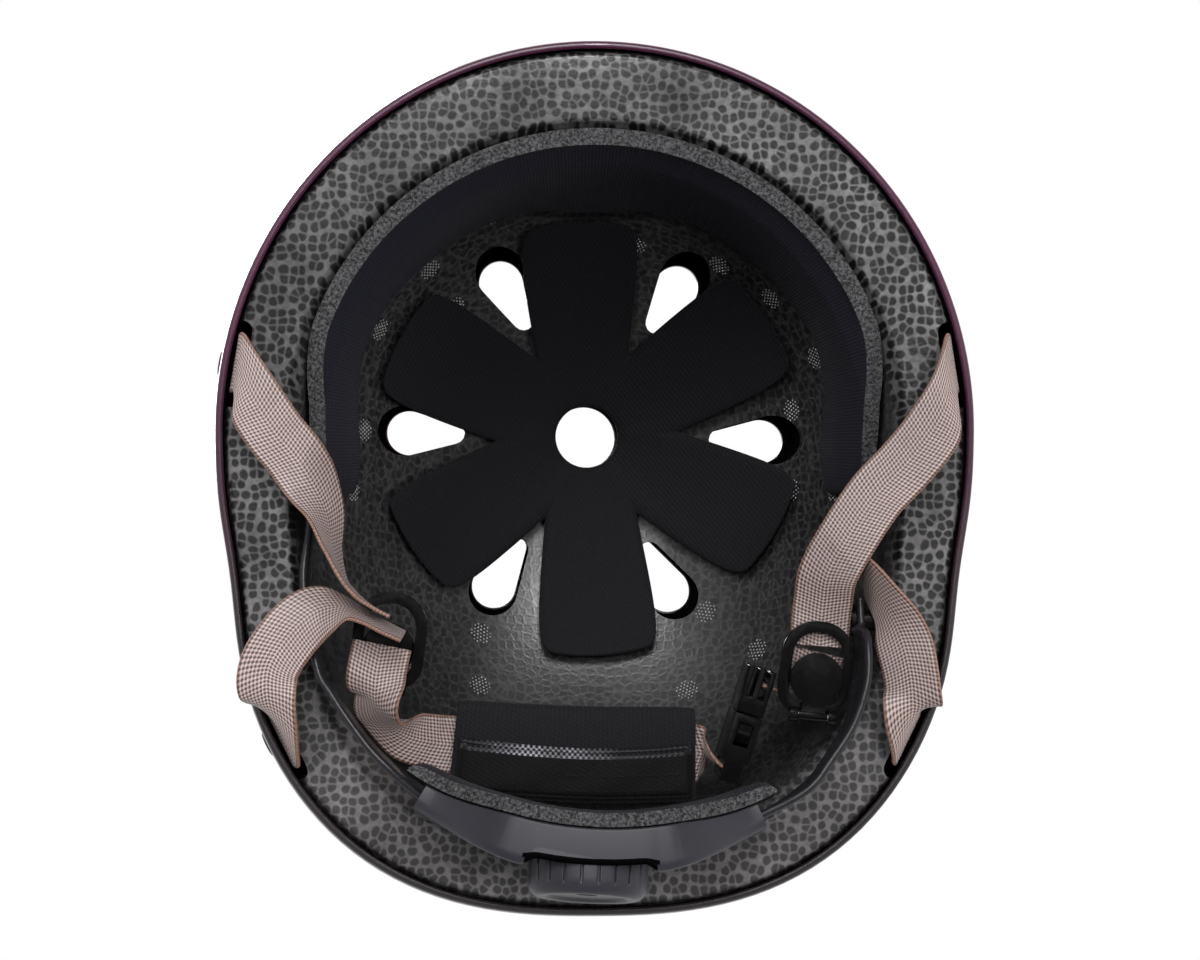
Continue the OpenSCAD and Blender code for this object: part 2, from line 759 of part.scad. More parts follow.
module buckle_plug() {
    tongue_l = 9.5;
    color(gloss_black)
    at_buckle() {
        difference() {
            centred_box(buckle_w - 1, buckle_t, -plug_l, -0.4);
            for (s = [-1, 1])
                translate([0, 0, s * 1.7])
                    centred_box(buckle_w + 2, 1.6, -plug_l - 1, -5.5);
            translate([0, 0, -buckle_t / 2])
                centred_box(web_w + 1, buckle_t, -plug_l + 3.2, -plug_l + 3.2 + slot_l);
        }
        centred_box(4.4, buckle_t - 2 * buckle_wall - 0.8, -0.4, tongue_l);
    }
}

// The plug's two spring arms, whose heads catch in the socket's side windows.
module buckle_prongs() {
    arm_t = buckle_t - 2 * buckle_wall - 1.2;
    color(gloss_black)
    at_buckle()
        for (s = [-1, 1])
            scale([s, 1, 1])
                translate([0, 0, -arm_t / 2])
                    linear_extrude(arm_t)
                        polygon([[prong_x - 1.4, -0.4], [prong_x + 1, -0.4],
                            [prong_x + 1, window_y + 0.4], [buckle_w / 2 - 0.2, window_y + 0.5],
                            [buckle_w / 2 - 0.3, window_y + 2.6], [prong_x + 0.6, window_y + 6.2],
                            [prong_x - 1, window_y + 6.2], [prong_x - 1.4, window_y + 2]]);
}

// Places children on the dial's gear: X along the racks, Y outward along the axis.
module at_dial() {
    stood()
        translate(dial_at)
            rotate(cradle_yaw)
                rotate([-dial_lean, 0, 0])
                    children();
}

// An arc of wall round the cradle's own centre, which lies ahead of the dial.
module arc_band(r_in, r_out, low, high, from, to) {
    translate([0, -cradle_r, 0])
        rotate(from)
            rotate_extrude(angle = to - from, $fn = 96)
                translate([r_in, low])
                    square([r_out - r_in, high - low]);
}

// Side view of the cradle, tall at the dial and low at the belt slots.
module cradle_side(shrink = 0) {
    n = 16;
    function blend(x) = let (t = max(0, (abs(x) - flat_half) / (channel_end - flat_half)))
        (1 - cos(180 * min(1, t))) / 2;
    function low(x) = cradle_low + (cradle_end_low - cradle_low) * blend(x) + shrink;
    function high(x) = cradle_high + (cradle_end_low + cradle_end_h - cradle_high) * blend(x) - shrink;
    polygon(concat(
        [for (i = [-n:n]) let (x = i * (channel_end + 0.01) / n) [x, low(x)]],
        [for (i = [n:-1:-n]) let (x = i * (channel_end + 0.01) / n) [x, high(x)]]));
}

module cradle_slice(r_in, r_out, shrink = 0) {
    intersection() {
        arc_band(r_in, r_out, -cradle_h, cradle_h, 90 - cradle_half_angle, 90 + cradle_half_angle);
        translate([0, 20, 0])
            rotate([90, 0, 0])
                linear_extrude(80)
                    cradle_side(shrink);
    }
}

module cradle_back() {
    color(slate)
    at_dial()
        difference() {
            union() {
                difference() {
                    cradle_slice(cradle_r - channel_w / 2, cradle_r + back_y);
                    cradle_slice(cradle_r - channel_w, cradle_r + channel_w / 2, lip);
                }
                for (s = [-1, 1])
                    at_screw(s)
                        translate([0, 0, -channel_w / 2 + 0.1])
                            cylinder(r = post_r, h = channel_w, $fn = 32);
            }
            for (s = [-1, 1])
                at_screw(s)
                    translate([0, 0, -channel_w])
                        cylinder(r = screw_r + 0.03, h = 1.5 * channel_w + 1, $fn = 32);
            rotate([-90, 0, 0])
                cylinder(r = dial_shaft_r + shaft_play, h = 20, $fn = 48);
        }
}

module cradle_cover() {
    color(slate)
    at_dial()
        difference() {
            cradle_slice(cradle_r - channel_w / 2 - cover_wall, cradle_r - channel_w / 2 - 0.04);
            for (s = [-1, 1])
                at_screw(s)
                    cylinder(r = screw_r + play, h = 30, center = true, $fn = 32);
        }
}

// Places children at a screw on the channel's arc, with +Z outward.
module at_screw(s) {
    translate([0, -cradle_r, 0])
        rotate(-s * screw_azimuth)
            translate([0, cradle_r, -s * screw_z])
                rotate([-90, 0, 0])
                    children();
}

// Flat headed screws that hold the cover to posts in the channel.
module cradle_screws() {
    color(steel)
    at_dial()
        for (s = [-1, 1])
            at_screw(s) {
                translate([0, 0, -channel_w / 2 - cover_wall - 0.2])
                    cylinder(r = screw_r, h = cover_wall + channel_w + 0.8, $fn = 32);
                translate([0, 0, -channel_w / 2 - cover_wall - 0.7])
                    cylinder(r = 2.2, h = 0.6, $fn = 32);
            }
}

// Foam pad on the cover, with a soft crown and thin ends.
module cradle_pad() {
    cols = 22;
    rows = 5;
    reach = cradle_half_angle + 4;
    back_r = cradle_r - channel_w / 2 - cover_wall - 0.8;
    function edge(t) = pow(max(0, 1 - pow(abs(2 * t - 1), 6)), 0.5);
    function place(r, a, z) = [r * sin(a), r * cos(a) - cradle_r, z];
    function height(a, v) =
        let (end = pow(abs(a) / reach, 3))
        let (low = cradle_low + 1.2 + 9 * end)
        let (high = 9 - 1.5 * end)
        low + (high - low) * v;
    color(pad_black)
    at_dial()
        slab(
            [for (r = [0:rows]) [for (c = [0:cols])
                let (a = reach * (1 - 2 * c / cols))
                place(back_r, a, height(a, r / rows))]],
            [for (r = [0:rows]) [for (c = [0:cols])
                let (a = reach * (1 - 2 * c / cols))
                let (full = 0.8 * edge(c / cols) + 0.2)
                place(back_r - cradle_pad_t * (0.62 + 0.38 * sin(180 * r / rows)) * full,
                    a, height(a, r / rows))]]);
}

function gear_points() = flat([for (k = [0:gear_teeth - 1])
    let (m = 90 + 360 * k / gear_teeth)
    [for (c = [[gear_r - tooth_down, -11], [gear_r, -7.4], [gear_r + tooth_up, -3],
            [gear_r + tooth_up, 3], [gear_r, 7.4], [gear_r - tooth_down, 11]])
        [c[0] * cos(m + c[1]), c[0] * sin(m + c[1])]]]);

module dial_gear() {
    color(gloss_black)
    at_dial()
        rotate([-90, 0, 0])
            difference() {
                union() {
                    translate([0, 0, -gear_back])
                        linear_extrude(rack_t)
                            polygon(gear_points());
                    cylinder(r = dial_shaft_r, h = knob_at + 5.5, $fn = 48);
                }
                translate([0, 0, knob_at])
                    cylinder(r = 1.05, h = 6, $fn = 32);
            }
}

// Knob with a grooved skirt, a plain bevel and a dished face.
module dial_knob() {
    groove_r = 0.8;
    face_r = 11;
    color(slate)
    at_dial()
        translate([0, knob_at, 0])
            rotate([-90, 0, 0])
                difference() {
                    rotate_extrude($fn = 96)
                        polygon([[dial_shaft_r + 0.03, 0], [5, 0], [5, 4.5], [13.6, 4.5], [13.6, 0],
                            [knob_r, 0], [knob_r, knob_l * 0.55], [knob_r - 1.4, knob_l * 0.8],
                            [knob_r - 3.4, knob_l], [face_r, knob_l], [face_r - 1, knob_l - 0.8],
                            [3.2, knob_l - 1.2], [3.2, knob_l - 3], [1.3, knob_l - 3],
                            [1.3, 6], [dial_shaft_r + 0.03, 6]]);
                    for (i = [0:knob_grooves - 1])
                        rotate(360 * i / knob_grooves)
                            translate([knob_r + groove_r * 0.4, 0, -1])
                                cylinder(r = groove_r, h = 1 + knob_l * 0.5, $fn = 24);
                }
}

module dial_screw() {
    color(steel)
    at_dial()
        translate([0, knob_at, 0])
            rotate([-90, 0, 0]) {
                translate([0, 0, knob_l - 2.95])
                    cylinder(r = 2.9, h = 1.3, $fn = 40);
                translate([0, 0, 0.6])
                    cylinder(r = 1, h = knob_l - 3, $fn = 32);
            }
}

// Notched ring on the cradle's back, round which the knob clicks.
module click_ring() {
    color(gloss_black)
    at_dial()
        translate([0, back_y + 0.02, 0])
            rotate([-90, 0, 0])
                difference() {
                    cylinder(r = 12, h = 3.6, $fn = 72);
                    translate([0, 0, -1])
                        cylinder(r = 6.5, h = 6, $fn = 48);
                    for (i = [0:17])
                        rotate(20 * i)
                            translate([12.4, 0, -1])
                                cylinder(r = 0.9, h = 6, $fn = 24);
                }
}

// A toothed arc on one side of the gear; side is 1 above and -1 below it.
module rack(side) {
    root = gear_r + tooth_down;
    step = rack_pitch / cradle_r * 180 / PI;
    slope = tan(20);
    half = 0.6;
    color(slate)
    at_dial()
        scale([side, 1, side]) {
            arc_band(cradle_r - rack_t / 2, cradle_r + rack_t / 2, root, root + rack_back,
                90 - 17, 90 + 5);
            for (k = [-2:5])
                translate([0, -cradle_r, 0])
                    rotate(-(k + 0.5) * step)
                        translate([0, cradle_r + rack_t / 2, 0])
                            rotate([90, 0, 0])
                                linear_extrude(rack_t)
                                    polygon([[-half - tooth_down * slope, root + 0.3],
                                        [-half + tooth_up * slope, gear_r - tooth_up],
                                        [half - tooth_up * slope, gear_r - tooth_up],
                                        [half + tooth_down * slope, root + 0.3]]);
        }
}

module left_rack() { rack(1); }
module right_rack() { rack(-1); }

// A point of the cradle's own space in the helmet's.
function from_dial(p) =
    let (y = p[1] * cos(dial_lean) + p[2] * sin(dial_lean))
    let (z = p[2] * cos(dial_lean) - p[1] * sin(dial_lean))
    dial_at + [p[0] * cos(cradle_yaw) - y * sin(cradle_yaw),
        p[0] * sin(cradle_yaw) + y * cos(cradle_yaw), z];

function in_channel(a, z) =
    [from_dial([cradle_r * sin(a), cradle_r * cos(a) - cradle_r, z]),
        from_dial([0, 0, 1]) - dial_at];

left_belt_run = [
    in_channel(17.4, 5), in_channel(20, 4.6), in_channel(24, 4.1), in_channel(27.5, 4),
    [[57.5, 86.5, -17], [0, 0, 1]],
    [[64.4, 78.8, -14.5], [0, 0, 1]],
    [[71, 68.9, -11.5], [-0.1, 0, 1]],
    [[75.2, 57.4, -8], [-0.12, 0, 1]],
    [[76.4, 48, -3.5], [0, 0, 1]],
    [left_temple + [0, 5, -3.5], [0, 0, 1]],
    [left_temple, [0, 0, 1]],
    [left_temple + [0, -5, 2], [0, 0, 1]]];

right_belt_run = [
    in_channel(-17.4, -3.6), in_channel(-20, -0.6), in_channel(-24, 3.3), in_channel(-27.5, 4),
    [[-57.5, 80.5, -18], [0, 0, 1]],
    [[-65, 73, -15], [0, 0, 1]],
    [[-74, 61, -10], [0, 0, 1]],
    [[-79, 52, -6], [0, 0, 1]],
    [[-83.2, 30, 2], [0, 0, 1]],
    [[-82.2, 15, 8], [0, 0, 1]],
    [right_temple, [0, 0, 1]],
    [right_temple + [0, -6, 1], [0, 0, 1]]];

// Places children on a temple anchor, with +Z outward.
module temple(s) {
    translate(s > 0 ? left_temple : right_temple)
        rotate([0, s * 90, 0])
            children();
}

module belt(run, s) {
    color(slate)
    stood()
        difference() {
            ribbon(run, belt_h, belt_t, 2);
            temple(s)
                cylinder(r = temple_r + play, h = 8, center = true, $fn = 32);
        }
}

module left_belt() { belt(left_belt_run, 1); }
module right_belt() { belt(right_belt_run, -1); }

module temple_anchors() {
    color(gloss_black)
    stood()
        for (s = [-1, 1])
            temple(s) {
                translate([0, 0, -belt_t / 2 - 1.5])
                    cylinder(r = 4.5, h = 1.2, $fn = 40);
                translate([0, 0, -belt_t / 2 - 1])
                    cylinder(r = temple_r - 0.05, h = anchor_l, $fn = 32);
            }
}

// How far the liner's wall stands in, a height above its rim.
function wall_inset(up) = liner_bevel * min(1, max(0, (up - 1) / 8));

module brow_pad() {
    cols = 40;
    rows = 6;
    function turn(c) = brow_reach * (2 * c / cols - 1);
    function ends(a) = min(1, max(0, (abs(a) - 60) / (brow_reach - 60)));
    function low(a) = 2 + 17 * (1 - cos(180 * ends(a))) / 2;
    function high(a) = low(a) + brow_h - (brow_h - brow_end_h) * pow(abs(a) / brow_reach, 2)
        + 5 * exp(-pow(a / 13, 2));
    function place(a, v, deep) =
        let (z = low(a) + (high(a) - low(a)) * v)
        let (dome = room_dome(wall_inset(z - rim_z(mid_y)) + pad_gap + deep))
        dome_at(dome, a - 90, z);
    function full(c) = pow(max(0, 1 - pow(abs(2 * c / cols - 1), 12)), 0.5);
    color(pad_black)
    stood()
        slab(
            [for (r = [0:rows]) [for (c = [0:cols]) place(turn(c), r / rows, 0)]],
            [for (r = [0:rows]) [for (c = [0:cols])
                let (v = r / rows)
                place(turn(c), v, brow_t * (0.3 + 0.7 * full(c))
                    * (0.8 - 0.35 * v + 0.45 * sin(180 * v)))]]);
}

// Height of the liner's inside over a place near the crown, less an inset.
function crown_z(r, a, inset) =
    let (dome = room_dome(liner_bevel + inset))
    dome[5] * sqrt(max(0, 1 - pow(r / plan_r(dome, a), 2)));

// Half width of a petal at the middle of the pad, and how fast it widens outward
petal_half_w = 10.4;
petal_spread = 0.15;

// Outline of the six petals: straight flanks that widen outward, and round tips.
function petal_edge(a) =
    let (off = abs(((a - crown_pad_turn + 360) % 60) - 30))
    let (flank = petal_half_w / max(0.001, sin(off) - petal_spread))
    let (tip = sin(a - crown_pad_turn) > 0.87 ? rear_petal_r : petal_r)
    pow(pow(flank, -6) + pow(tip, -6), -1 / 6);

module crown_pad() {
    n = 90;
    rows = 5;
    function ring(share, full) = [for (i = [0:n - 1])
        let (a = 360 * i / n)
        let (r = crown_pad_hole_r + (petal_edge(a) - crown_pad_hole_r) * share)
        [r * cos(a), mid_y + r * sin(a), crown_z(r, a, pad_gap + crown_pad_t * full)]];
    color(pad_black)
    stood()
        ring_loop(concat(
            [for (k = [rows:-1:0]) ring(k / rows, 0.45 + 0.55 * pow(sin(180 * k / rows), 0.5))],
            [for (k = [0:rows]) ring(0.01 + 0.98 * k / rows, 0.02)]), n);
}

module dot_on_dome(r, a) {
    function under(x, y) = crown_z(norm([x, y]), atan2(y, x), pad_gap * 0.6);
    x = r * cos(a);
    y = r * sin(a);
    across = under(x - 1, y) - under(x + 1, y);
    along = under(x, y - 1) - under(x, y + 1);
    translate([x, mid_y + y, under(x, y)])
        rotate([0, atan(norm([across, along]) / 2), atan2(along, across)])
            cylinder(r = hook_dot_r, h = 0.4, center = true, $fn = 32);
}

// Radii of the rings of hook discs behind the crown pad and the brow pad
crown_dots_r = 45;
brow_dots_r = 80;

// Hook discs glued to the liner, which hold the loop backed pads.
module hook_dots() {
    color(gloss_black)
    stood() {
        for (i = [0:5])
            dot_on_dome(crown_dots_r, 30 + 60 * i);
        for (a = [-160, -125, -90, -55, -20])
            dot_on_dome(brow_dots_r, a);
    }
}

outer_shell();
foam_liner();
strap_rivets();
strap_washers();
left_front_strap();
left_rear_strap();
right_front_strap();
right_rear_strap();
left_chin_strap();
right_chin_strap();
chin_pad();
left_divider();
right_divider();
left_lever_pin();
right_lever_pin();
left_lever();
right_lever();
buckle_socket();
buckle_plug();
buckle_prongs();
cradle_back();
cradle_cover();
cradle_pad();
cradle_screws();
dial_knob();
dial_gear();
dial_screw();
click_ring();
left_rack();
right_rack();
left_belt();
right_belt();
temple_anchors();
brow_pad();
crown_pad();
hook_dots();
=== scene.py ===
"""Looks of the bicycle helmet: shell, foam liner, pads, webbing, fit cradle, dividers and buckle.

Lengths are in metres. Most pieces are shaped in the helmet's own space, rim down and level:
+X is the wearer's left, -Y the forehead, +Z the crown, and the rim's front lies at height 0.
STAND then tilts them to the way the helmet stands on its front rim and its cradle.
"""

import json
import math
from collections import namedtuple

import bmesh
import bpy
import numpy as np
from bpy.props import FloatProperty, FloatVectorProperty, IntProperty, PointerProperty
from mathutils import Matrix, Vector


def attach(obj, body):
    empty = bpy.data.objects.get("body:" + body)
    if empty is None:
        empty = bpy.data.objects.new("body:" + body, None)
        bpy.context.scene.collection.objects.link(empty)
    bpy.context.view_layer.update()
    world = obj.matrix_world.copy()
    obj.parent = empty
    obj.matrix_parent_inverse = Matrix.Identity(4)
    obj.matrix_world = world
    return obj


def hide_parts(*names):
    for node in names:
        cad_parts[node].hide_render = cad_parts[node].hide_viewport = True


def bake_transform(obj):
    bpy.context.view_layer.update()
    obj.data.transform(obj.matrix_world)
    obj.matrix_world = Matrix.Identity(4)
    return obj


bl_info = {
    "name": "Bicycle helmet",
    "version": (1, 0, 0),
    "blender": (4, 5, 0),
    "location": "3D View > Sidebar > Helmet",
    "description": "Shell, foam liner, pads, webbing, fit cradle and buckle of a bicycle helmet",
    "category": "Object",
}

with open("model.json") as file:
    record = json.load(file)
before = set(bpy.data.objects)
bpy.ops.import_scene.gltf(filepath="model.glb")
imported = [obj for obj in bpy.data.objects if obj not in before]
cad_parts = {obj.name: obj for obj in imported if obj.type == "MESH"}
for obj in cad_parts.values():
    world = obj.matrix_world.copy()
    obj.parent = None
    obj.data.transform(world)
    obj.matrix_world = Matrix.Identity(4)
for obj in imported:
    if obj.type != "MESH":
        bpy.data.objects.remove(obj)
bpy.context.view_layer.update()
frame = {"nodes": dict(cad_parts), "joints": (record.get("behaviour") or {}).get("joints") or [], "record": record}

MM = 0.001


def length(name, default, description):
    return FloatProperty(name=name, default=default, description=description, unit="LENGTH", precision=4)


def colour(name, default, description):
    return FloatVectorProperty(name=name, default=default, description=description,
                               subtype="COLOR", size=3, min=0.0, max=1.0)


class ShellSettings(bpy.types.PropertyGroup):
    """Sizes and colours of the shell and the liner."""

    half_width: length("Half width", 0.110, "Half the outside width of the shell at its widest")
    front: length("Front", 0.113, "From the widest line to the front of the rim")
    back: length("Back", 0.1405, "From the widest line to the back of the rim")
    height: length("Height", 0.135, "Height of the crown above the rim")
    waist: length("Waist", 0.018, "Height at which the shell is widest")
    wall: length("Wall", 0.0022, "Thickness of the shell")
    ear_rise: length("Ear rise", 0.004, "Rise of the rim over the ears")
    room_half_width: length("Room half width", 0.0883, "Half the inside width of the liner")
    room_front: length("Room front", 0.0883, "From the widest line to the front of the room")
    room_back: length("Room back", 0.1195, "From the widest line to the back of the room")
    room_height: length("Room height", 0.107, "Depth of the room under the crown")
    bevel: length("Bevel", 0.003, "Width of the bevel inside the liner's rim")
    shell_colour: colour("Shell", (0.045, 0.009, 0.027), "Satin plum of the shell")
    bead_colour: colour("Beads", (0.0115, 0.0115, 0.0113), "Dark grey of the foam's beads")
    skin_colour: colour("Bead borders", (0.091, 0.088, 0.089), "Pale grey where the beads fuse")


class PadSettings(bpy.types.PropertyGroup):
    """Sizes and colours of the pads."""

    gap: length("Gap", 0.0016, "Space between the liner and its pads")
    brow_thickness: length("Brow thickness", 0.006, "Thickness of the brow pad")
    brow_height: length("Brow height", 0.047, "Height of the brow pad at the forehead")
    brow_end_height: length("Brow end height", 0.030, "Height of the brow pad at its ends")
    brow_reach: FloatProperty(name="Brow reach", default=math.radians(104), subtype="ANGLE",
                              description="From the forehead to each end of the brow pad")
    crown_thickness: length("Crown thickness", 0.0055, "Thickness of the crown pad")
    petal_radius: length("Petal radius", 0.066, "Radius of the crown pad's petal tips")
    rear_petal_radius: length("Rear petal radius", 0.070, "Radius of the tip of the rear petal")
    petal_half_width: length("Petal half width", 0.0104, "Half the width of the petals near the hole")
    hole_radius: length("Hole radius", 0.010, "Radius of the hole in the crown pad")
    brow_colour: colour("Brow fabric", (0.0052, 0.0052, 0.0105), "Blue black knit of the brow pad")
    crown_colour: colour("Crown fabric", (0.0040, 0.0040, 0.0058), "Black knit of the crown pad")
    foam_colour: colour("Pad foam", (0.050, 0.050, 0.052), "Grey of the pads' cut edges")


class WebbingSettings(bpy.types.PropertyGroup):
    """Sizes and colours of the webbing."""

    width: length("Width", 0.017, "Width of the webbing")
    thickness: length("Thickness", 0.0012, "Thickness of the webbing")
    thread: length("Thread", 0.00105, "Spacing of the weave")
    colour: colour("Threads", (0.40, 0.305, 0.285), "Taupe of the threads")
    edge_colour: colour("Edge threads", (0.22, 0.11, 0.075), "Copper brown of the edge threads")


class CradleSettings(bpy.types.PropertyGroup):
    """Sizes and colours of the fit cradle and the hard small parts."""

    radius: length("Radius", 0.102, "Radius of the belt channel in plan")
    pad_thickness: length("Pad thickness", 0.006, "Thickness of the cradle pad")
    edge_radius: length("Edge radius", 0.0005, "Rounding of the edges of the dividers and the buckle")
    knob_grooves: IntProperty(name="Grooves", default=22, description="Grooves round the knob", min=8)
    slate_colour: colour("Slate", (0.030, 0.0285, 0.0355), "Matte slate plastic of cradle and knob")
    gloss_colour: colour("Gloss black", (0.003, 0.003, 0.0034), "Gloss black of buckle and dividers")


class StageSettings(bpy.types.PropertyGroup):
    """The camera's place and the lamps' level."""

    distance: length("Distance", 0.700, "From the rim to the camera below it")
    side: length("Side", -0.0244, "The camera's offset across the helmet")
    lamp_level: FloatProperty(name="Lamp level", default=1.0, min=0.0,
                              description="Share of the lamps' plain level")


HELMET_GROUPS = {
    "helmet_shell": ShellSettings,
    "helmet_pads": PadSettings,
    "helmet_webbing": WebbingSettings,
    "helmet_cradle": CradleSettings,
    "helmet_stage": StageSettings,
}

# Shape of the domes
TUCK = 0.090
SHELL_SQUARE = 2.6
SHELL_PROFILE = 2.1
ROOM_SQUARE = 2.8
LINER_GAP = 0.0004
LINER_RIM_GAP = 0.0008
EAR_Y = 0.015
EAR_SPREAD = 0.055
EAR_PINCH = 0.022
PINCH_ANGLE = 22.0
PINCH_SPREAD = 11.0
ROUND_STEPS = 192
DOME_ROWS = 44
DOME_SHARES = [1 - k / DOME_ROWS for k in range(1, DOME_ROWS + 1)]
CROWN_VENT_R = 0.0105
VENT_RING_R = 0.0505
VENT_TURN = math.radians(1.4)
VENT_W = 0.0146
VENT_L = 0.0255
VENT_TIP_R = 0.003
RIVET_Z = 0.024
ANCHOR_ANGLES = [math.radians(a) for a in (-10.5, 43.9, 190.5, 136.1)]
POCKET_W = 0.025
POCKET_D = 0.0064
POCKET_TOP = RIVET_Z + 0.014

Dome = namedtuple("Dome", "half front back square waist top profile pinch")


def settings(group):
    return getattr(bpy.context.scene, group)


def outer_dome(inset=0.0):
    s = settings("helmet_shell")
    return Dome(s.half_width - inset, s.front - inset, s.back - inset, SHELL_SQUARE,
                s.waist, s.height - inset, SHELL_PROFILE, EAR_PINCH)


def room_dome(inset):
    s = settings("helmet_shell")
    return Dome(s.room_half_width - inset, s.room_front - inset, s.room_back - inset, ROOM_SQUARE,
                0.0, s.room_height - inset, 2.0, 0.0)


def mid_y():
    """The widest line lies this far in front of the rim's middle."""
    s = settings("helmet_shell")
    return -(s.back - s.front) / 2


def plan_r(dome, a):
    """Distance from the widest line's middle to the dome's outline, at an angle."""
    behind = np.sin(a) > 0
    power = np.where(behind, dome.square, 2.0)
    depth = np.where(behind, dome.back, dome.front)
    ear = np.degrees(np.arcsin(np.sin(a)))
    pinch = dome.pinch * np.exp(-(((ear - PINCH_ANGLE) / PINCH_SPREAD) ** 2))
    total = np.abs(np.cos(a) / dome.half) ** power + np.abs(np.sin(a) / depth) ** power
    return (1 - pinch) * total ** (-1 / power)


def rise(dome, z):
    """Share of the outline's size that is left at a height."""
    up = np.where(z > dome.waist, (z - dome.waist) / (dome.top - dome.waist), (z - dome.waist) / TUCK)
    return np.clip(1 - np.abs(up) ** dome.profile, 0, None) ** (1 / dome.profile)


def dome_at(dome, a, z):
    """Points of a dome at angles and heights, as an array whose last axis is x, y, z."""
    a, z = np.broadcast_arrays(np.asarray(a, float), np.asarray(z, float))
    r = plan_r(dome, a) * rise(dome, z)
    return np.stack([r * np.cos(a), mid_y() + r * np.sin(a), z], axis=-1)


def rim_z(y):
    """Height of the rim at a distance back."""
    return settings("helmet_shell").ear_rise * np.exp(-(((y - EAR_Y) / EAR_SPREAD) ** 2))


def round_angles(count):
    return np.linspace(0, 2 * math.pi, count, endpoint=False)


def circle(radius, count):
    return [(radius * math.cos(a), radius * math.sin(a)) for a in round_angles(count)]


def smooth_share(value, start, end):
    """Rises softly from 0 to 1 between two values."""
    t = np.clip((value - start) / (end - start), 0, 1)
    return t * t * (3 - 2 * t)


def dome_ring(dome, share, lift=0.0):
    """One ring of a dome, a share of the way from its rim up to its top."""
    a = round_angles(ROUND_STEPS)
    low = rim_z(mid_y() + plan_r(dome, a) * np.sin(a)) + lift
    return dome_at(dome, a, low + (dome.top - low) * math.sin(math.pi / 2 * share))


def wall_inset(up):
    """How far the liner's wall stands in, a height above its rim."""
    return settings("helmet_shell").bevel * np.clip((up - 0.001) / 0.008, 0, 1)


def crown_z(dome, x, y):
    """Height of a round dome over a place near the crown."""
    r = np.hypot(x, y)
    return dome.top * np.sqrt(np.clip(1 - (r / plan_r(dome, np.arctan2(y, x))) ** 2, 0, None))


# The helmet's own space and the cradle's space, from the frame's record

def joint(name):
    return next(j for j in frame["joints"] if j["name"] == name)


HEAD_PLACE = Vector((0.0, -0.01375, 0.040))


def stand_matrix():
    """Tilts the helmet's own space to the way it stands, as the head mount's place and axis say."""
    head = frame["record"]["mounts"][0]
    lean = math.atan2(head["axis"][1], -head["axis"][2])
    turn = Matrix.Rotation(lean, 4, "X")
    return Matrix.Translation(Vector(head["pos_m"]) - turn @ HEAD_PLACE) @ turn


def dial_matrix():
    """The cradle's space in the stood frame: X along the racks, Y outward along the dial's axis."""
    out = Vector(joint("dial_turn")["axis"]).normalized()
    up = Vector(joint("left_rack_travel")["axis"]).normalized()
    across = out.cross(up)
    turn = Matrix((across, out, up)).transposed().to_4x4()
    return Matrix.Translation(joint("dial_turn")["pos_m"]) @ turn


STAND = stand_matrix()
DIAL = dial_matrix()
DIAL_IN_HELMET = STAND.inverted() @ DIAL


def moved(points, matrix):
    """Points, as an array whose last axis is x, y, z, moved by a matrix."""
    m = np.array(matrix)
    return np.asarray(points, float) @ m[:3, :3].T + m[:3, 3]


# Meshes

def grid_faces(rows, cols, closed_rows=False, closed_cols=False, first=0):
    """Quads between rows of points, which follow one another row by row."""
    faces = []
    for r in range(rows if closed_rows else rows - 1):
        for c in range(cols if closed_cols else cols - 1):
            a, b = r * cols, (r + 1) % rows * cols
            d = (c + 1) % cols
            faces.append((first + a + c, first + a + d, first + b + d, first + b + c))
    return faces


def mesh_object(name, points, faces, matrix=STAND, uv=None, crease=35.0):
    """A smooth shaded mesh with its faces outward and its sharp edges kept."""
    mesh = bpy.data.meshes.new(name)
    mesh.from_pydata(moved(points, matrix).tolist(), [], [tuple(f) for f in faces])
    if uv is not None:
        layer = mesh.uv_layers.new(name="Cloth")
        corners = np.zeros(len(mesh.loops), int)
        mesh.loops.foreach_get("vertex_index", corners)
        layer.data.foreach_set("uv", np.asarray(uv, float)[corners].ravel())
    work = bmesh.new()
    work.from_mesh(mesh)
    bmesh.ops.recalc_face_normals(work, faces=work.faces)
    work.to_mesh(mesh)
    work.free()
    shade(mesh, crease)
    piece = bpy.data.objects.new(name, mesh)
    bpy.context.scene.collection.objects.link(piece)
    return piece


def shade(mesh, crease):
    mesh.shade_smooth()
    mesh.set_sharp_from_angle(angle=math.radians(crease))


def finish_piece(piece, materials, body="helmet", stands_for=()):
    """Gives a piece its materials and its body, and hides the nodes it stands for."""
    for material in materials:
        piece.data.materials.append(material)
    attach(piece, body)
    if stands_for:
        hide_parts(*stands_for)


def dress(name, material):
    """Gives a node of the frame its material."""
    slots = frame["nodes"][name].data.materials
    slots.clear()
    slots.append(material)


def apply_modifiers(piece, crease):
    """Swaps a piece's mesh for the one its modifiers make."""
    depsgraph = bpy.context.evaluated_depsgraph_get()
    old = piece.data
    made = bpy.data.meshes.new_from_object(piece.evaluated_get(depsgraph))
    piece.modifiers.clear()
    piece.data = made
    bpy.data.meshes.remove(old)
    shade(made, crease)


def cut(piece, cutters):
    """Takes the cutters out of a piece, and deletes them."""
    for cutter in cutters:
        modifier = piece.modifiers.new("Cut", "BOOLEAN")
        modifier.operation = "DIFFERENCE"
        modifier.solver = "MANIFOLD"
        modifier.object = cutter
    apply_modifiers(piece, 35)
    piece.data.materials.clear()
    for cutter in cutters:
        bpy.data.meshes.remove(cutter.data)


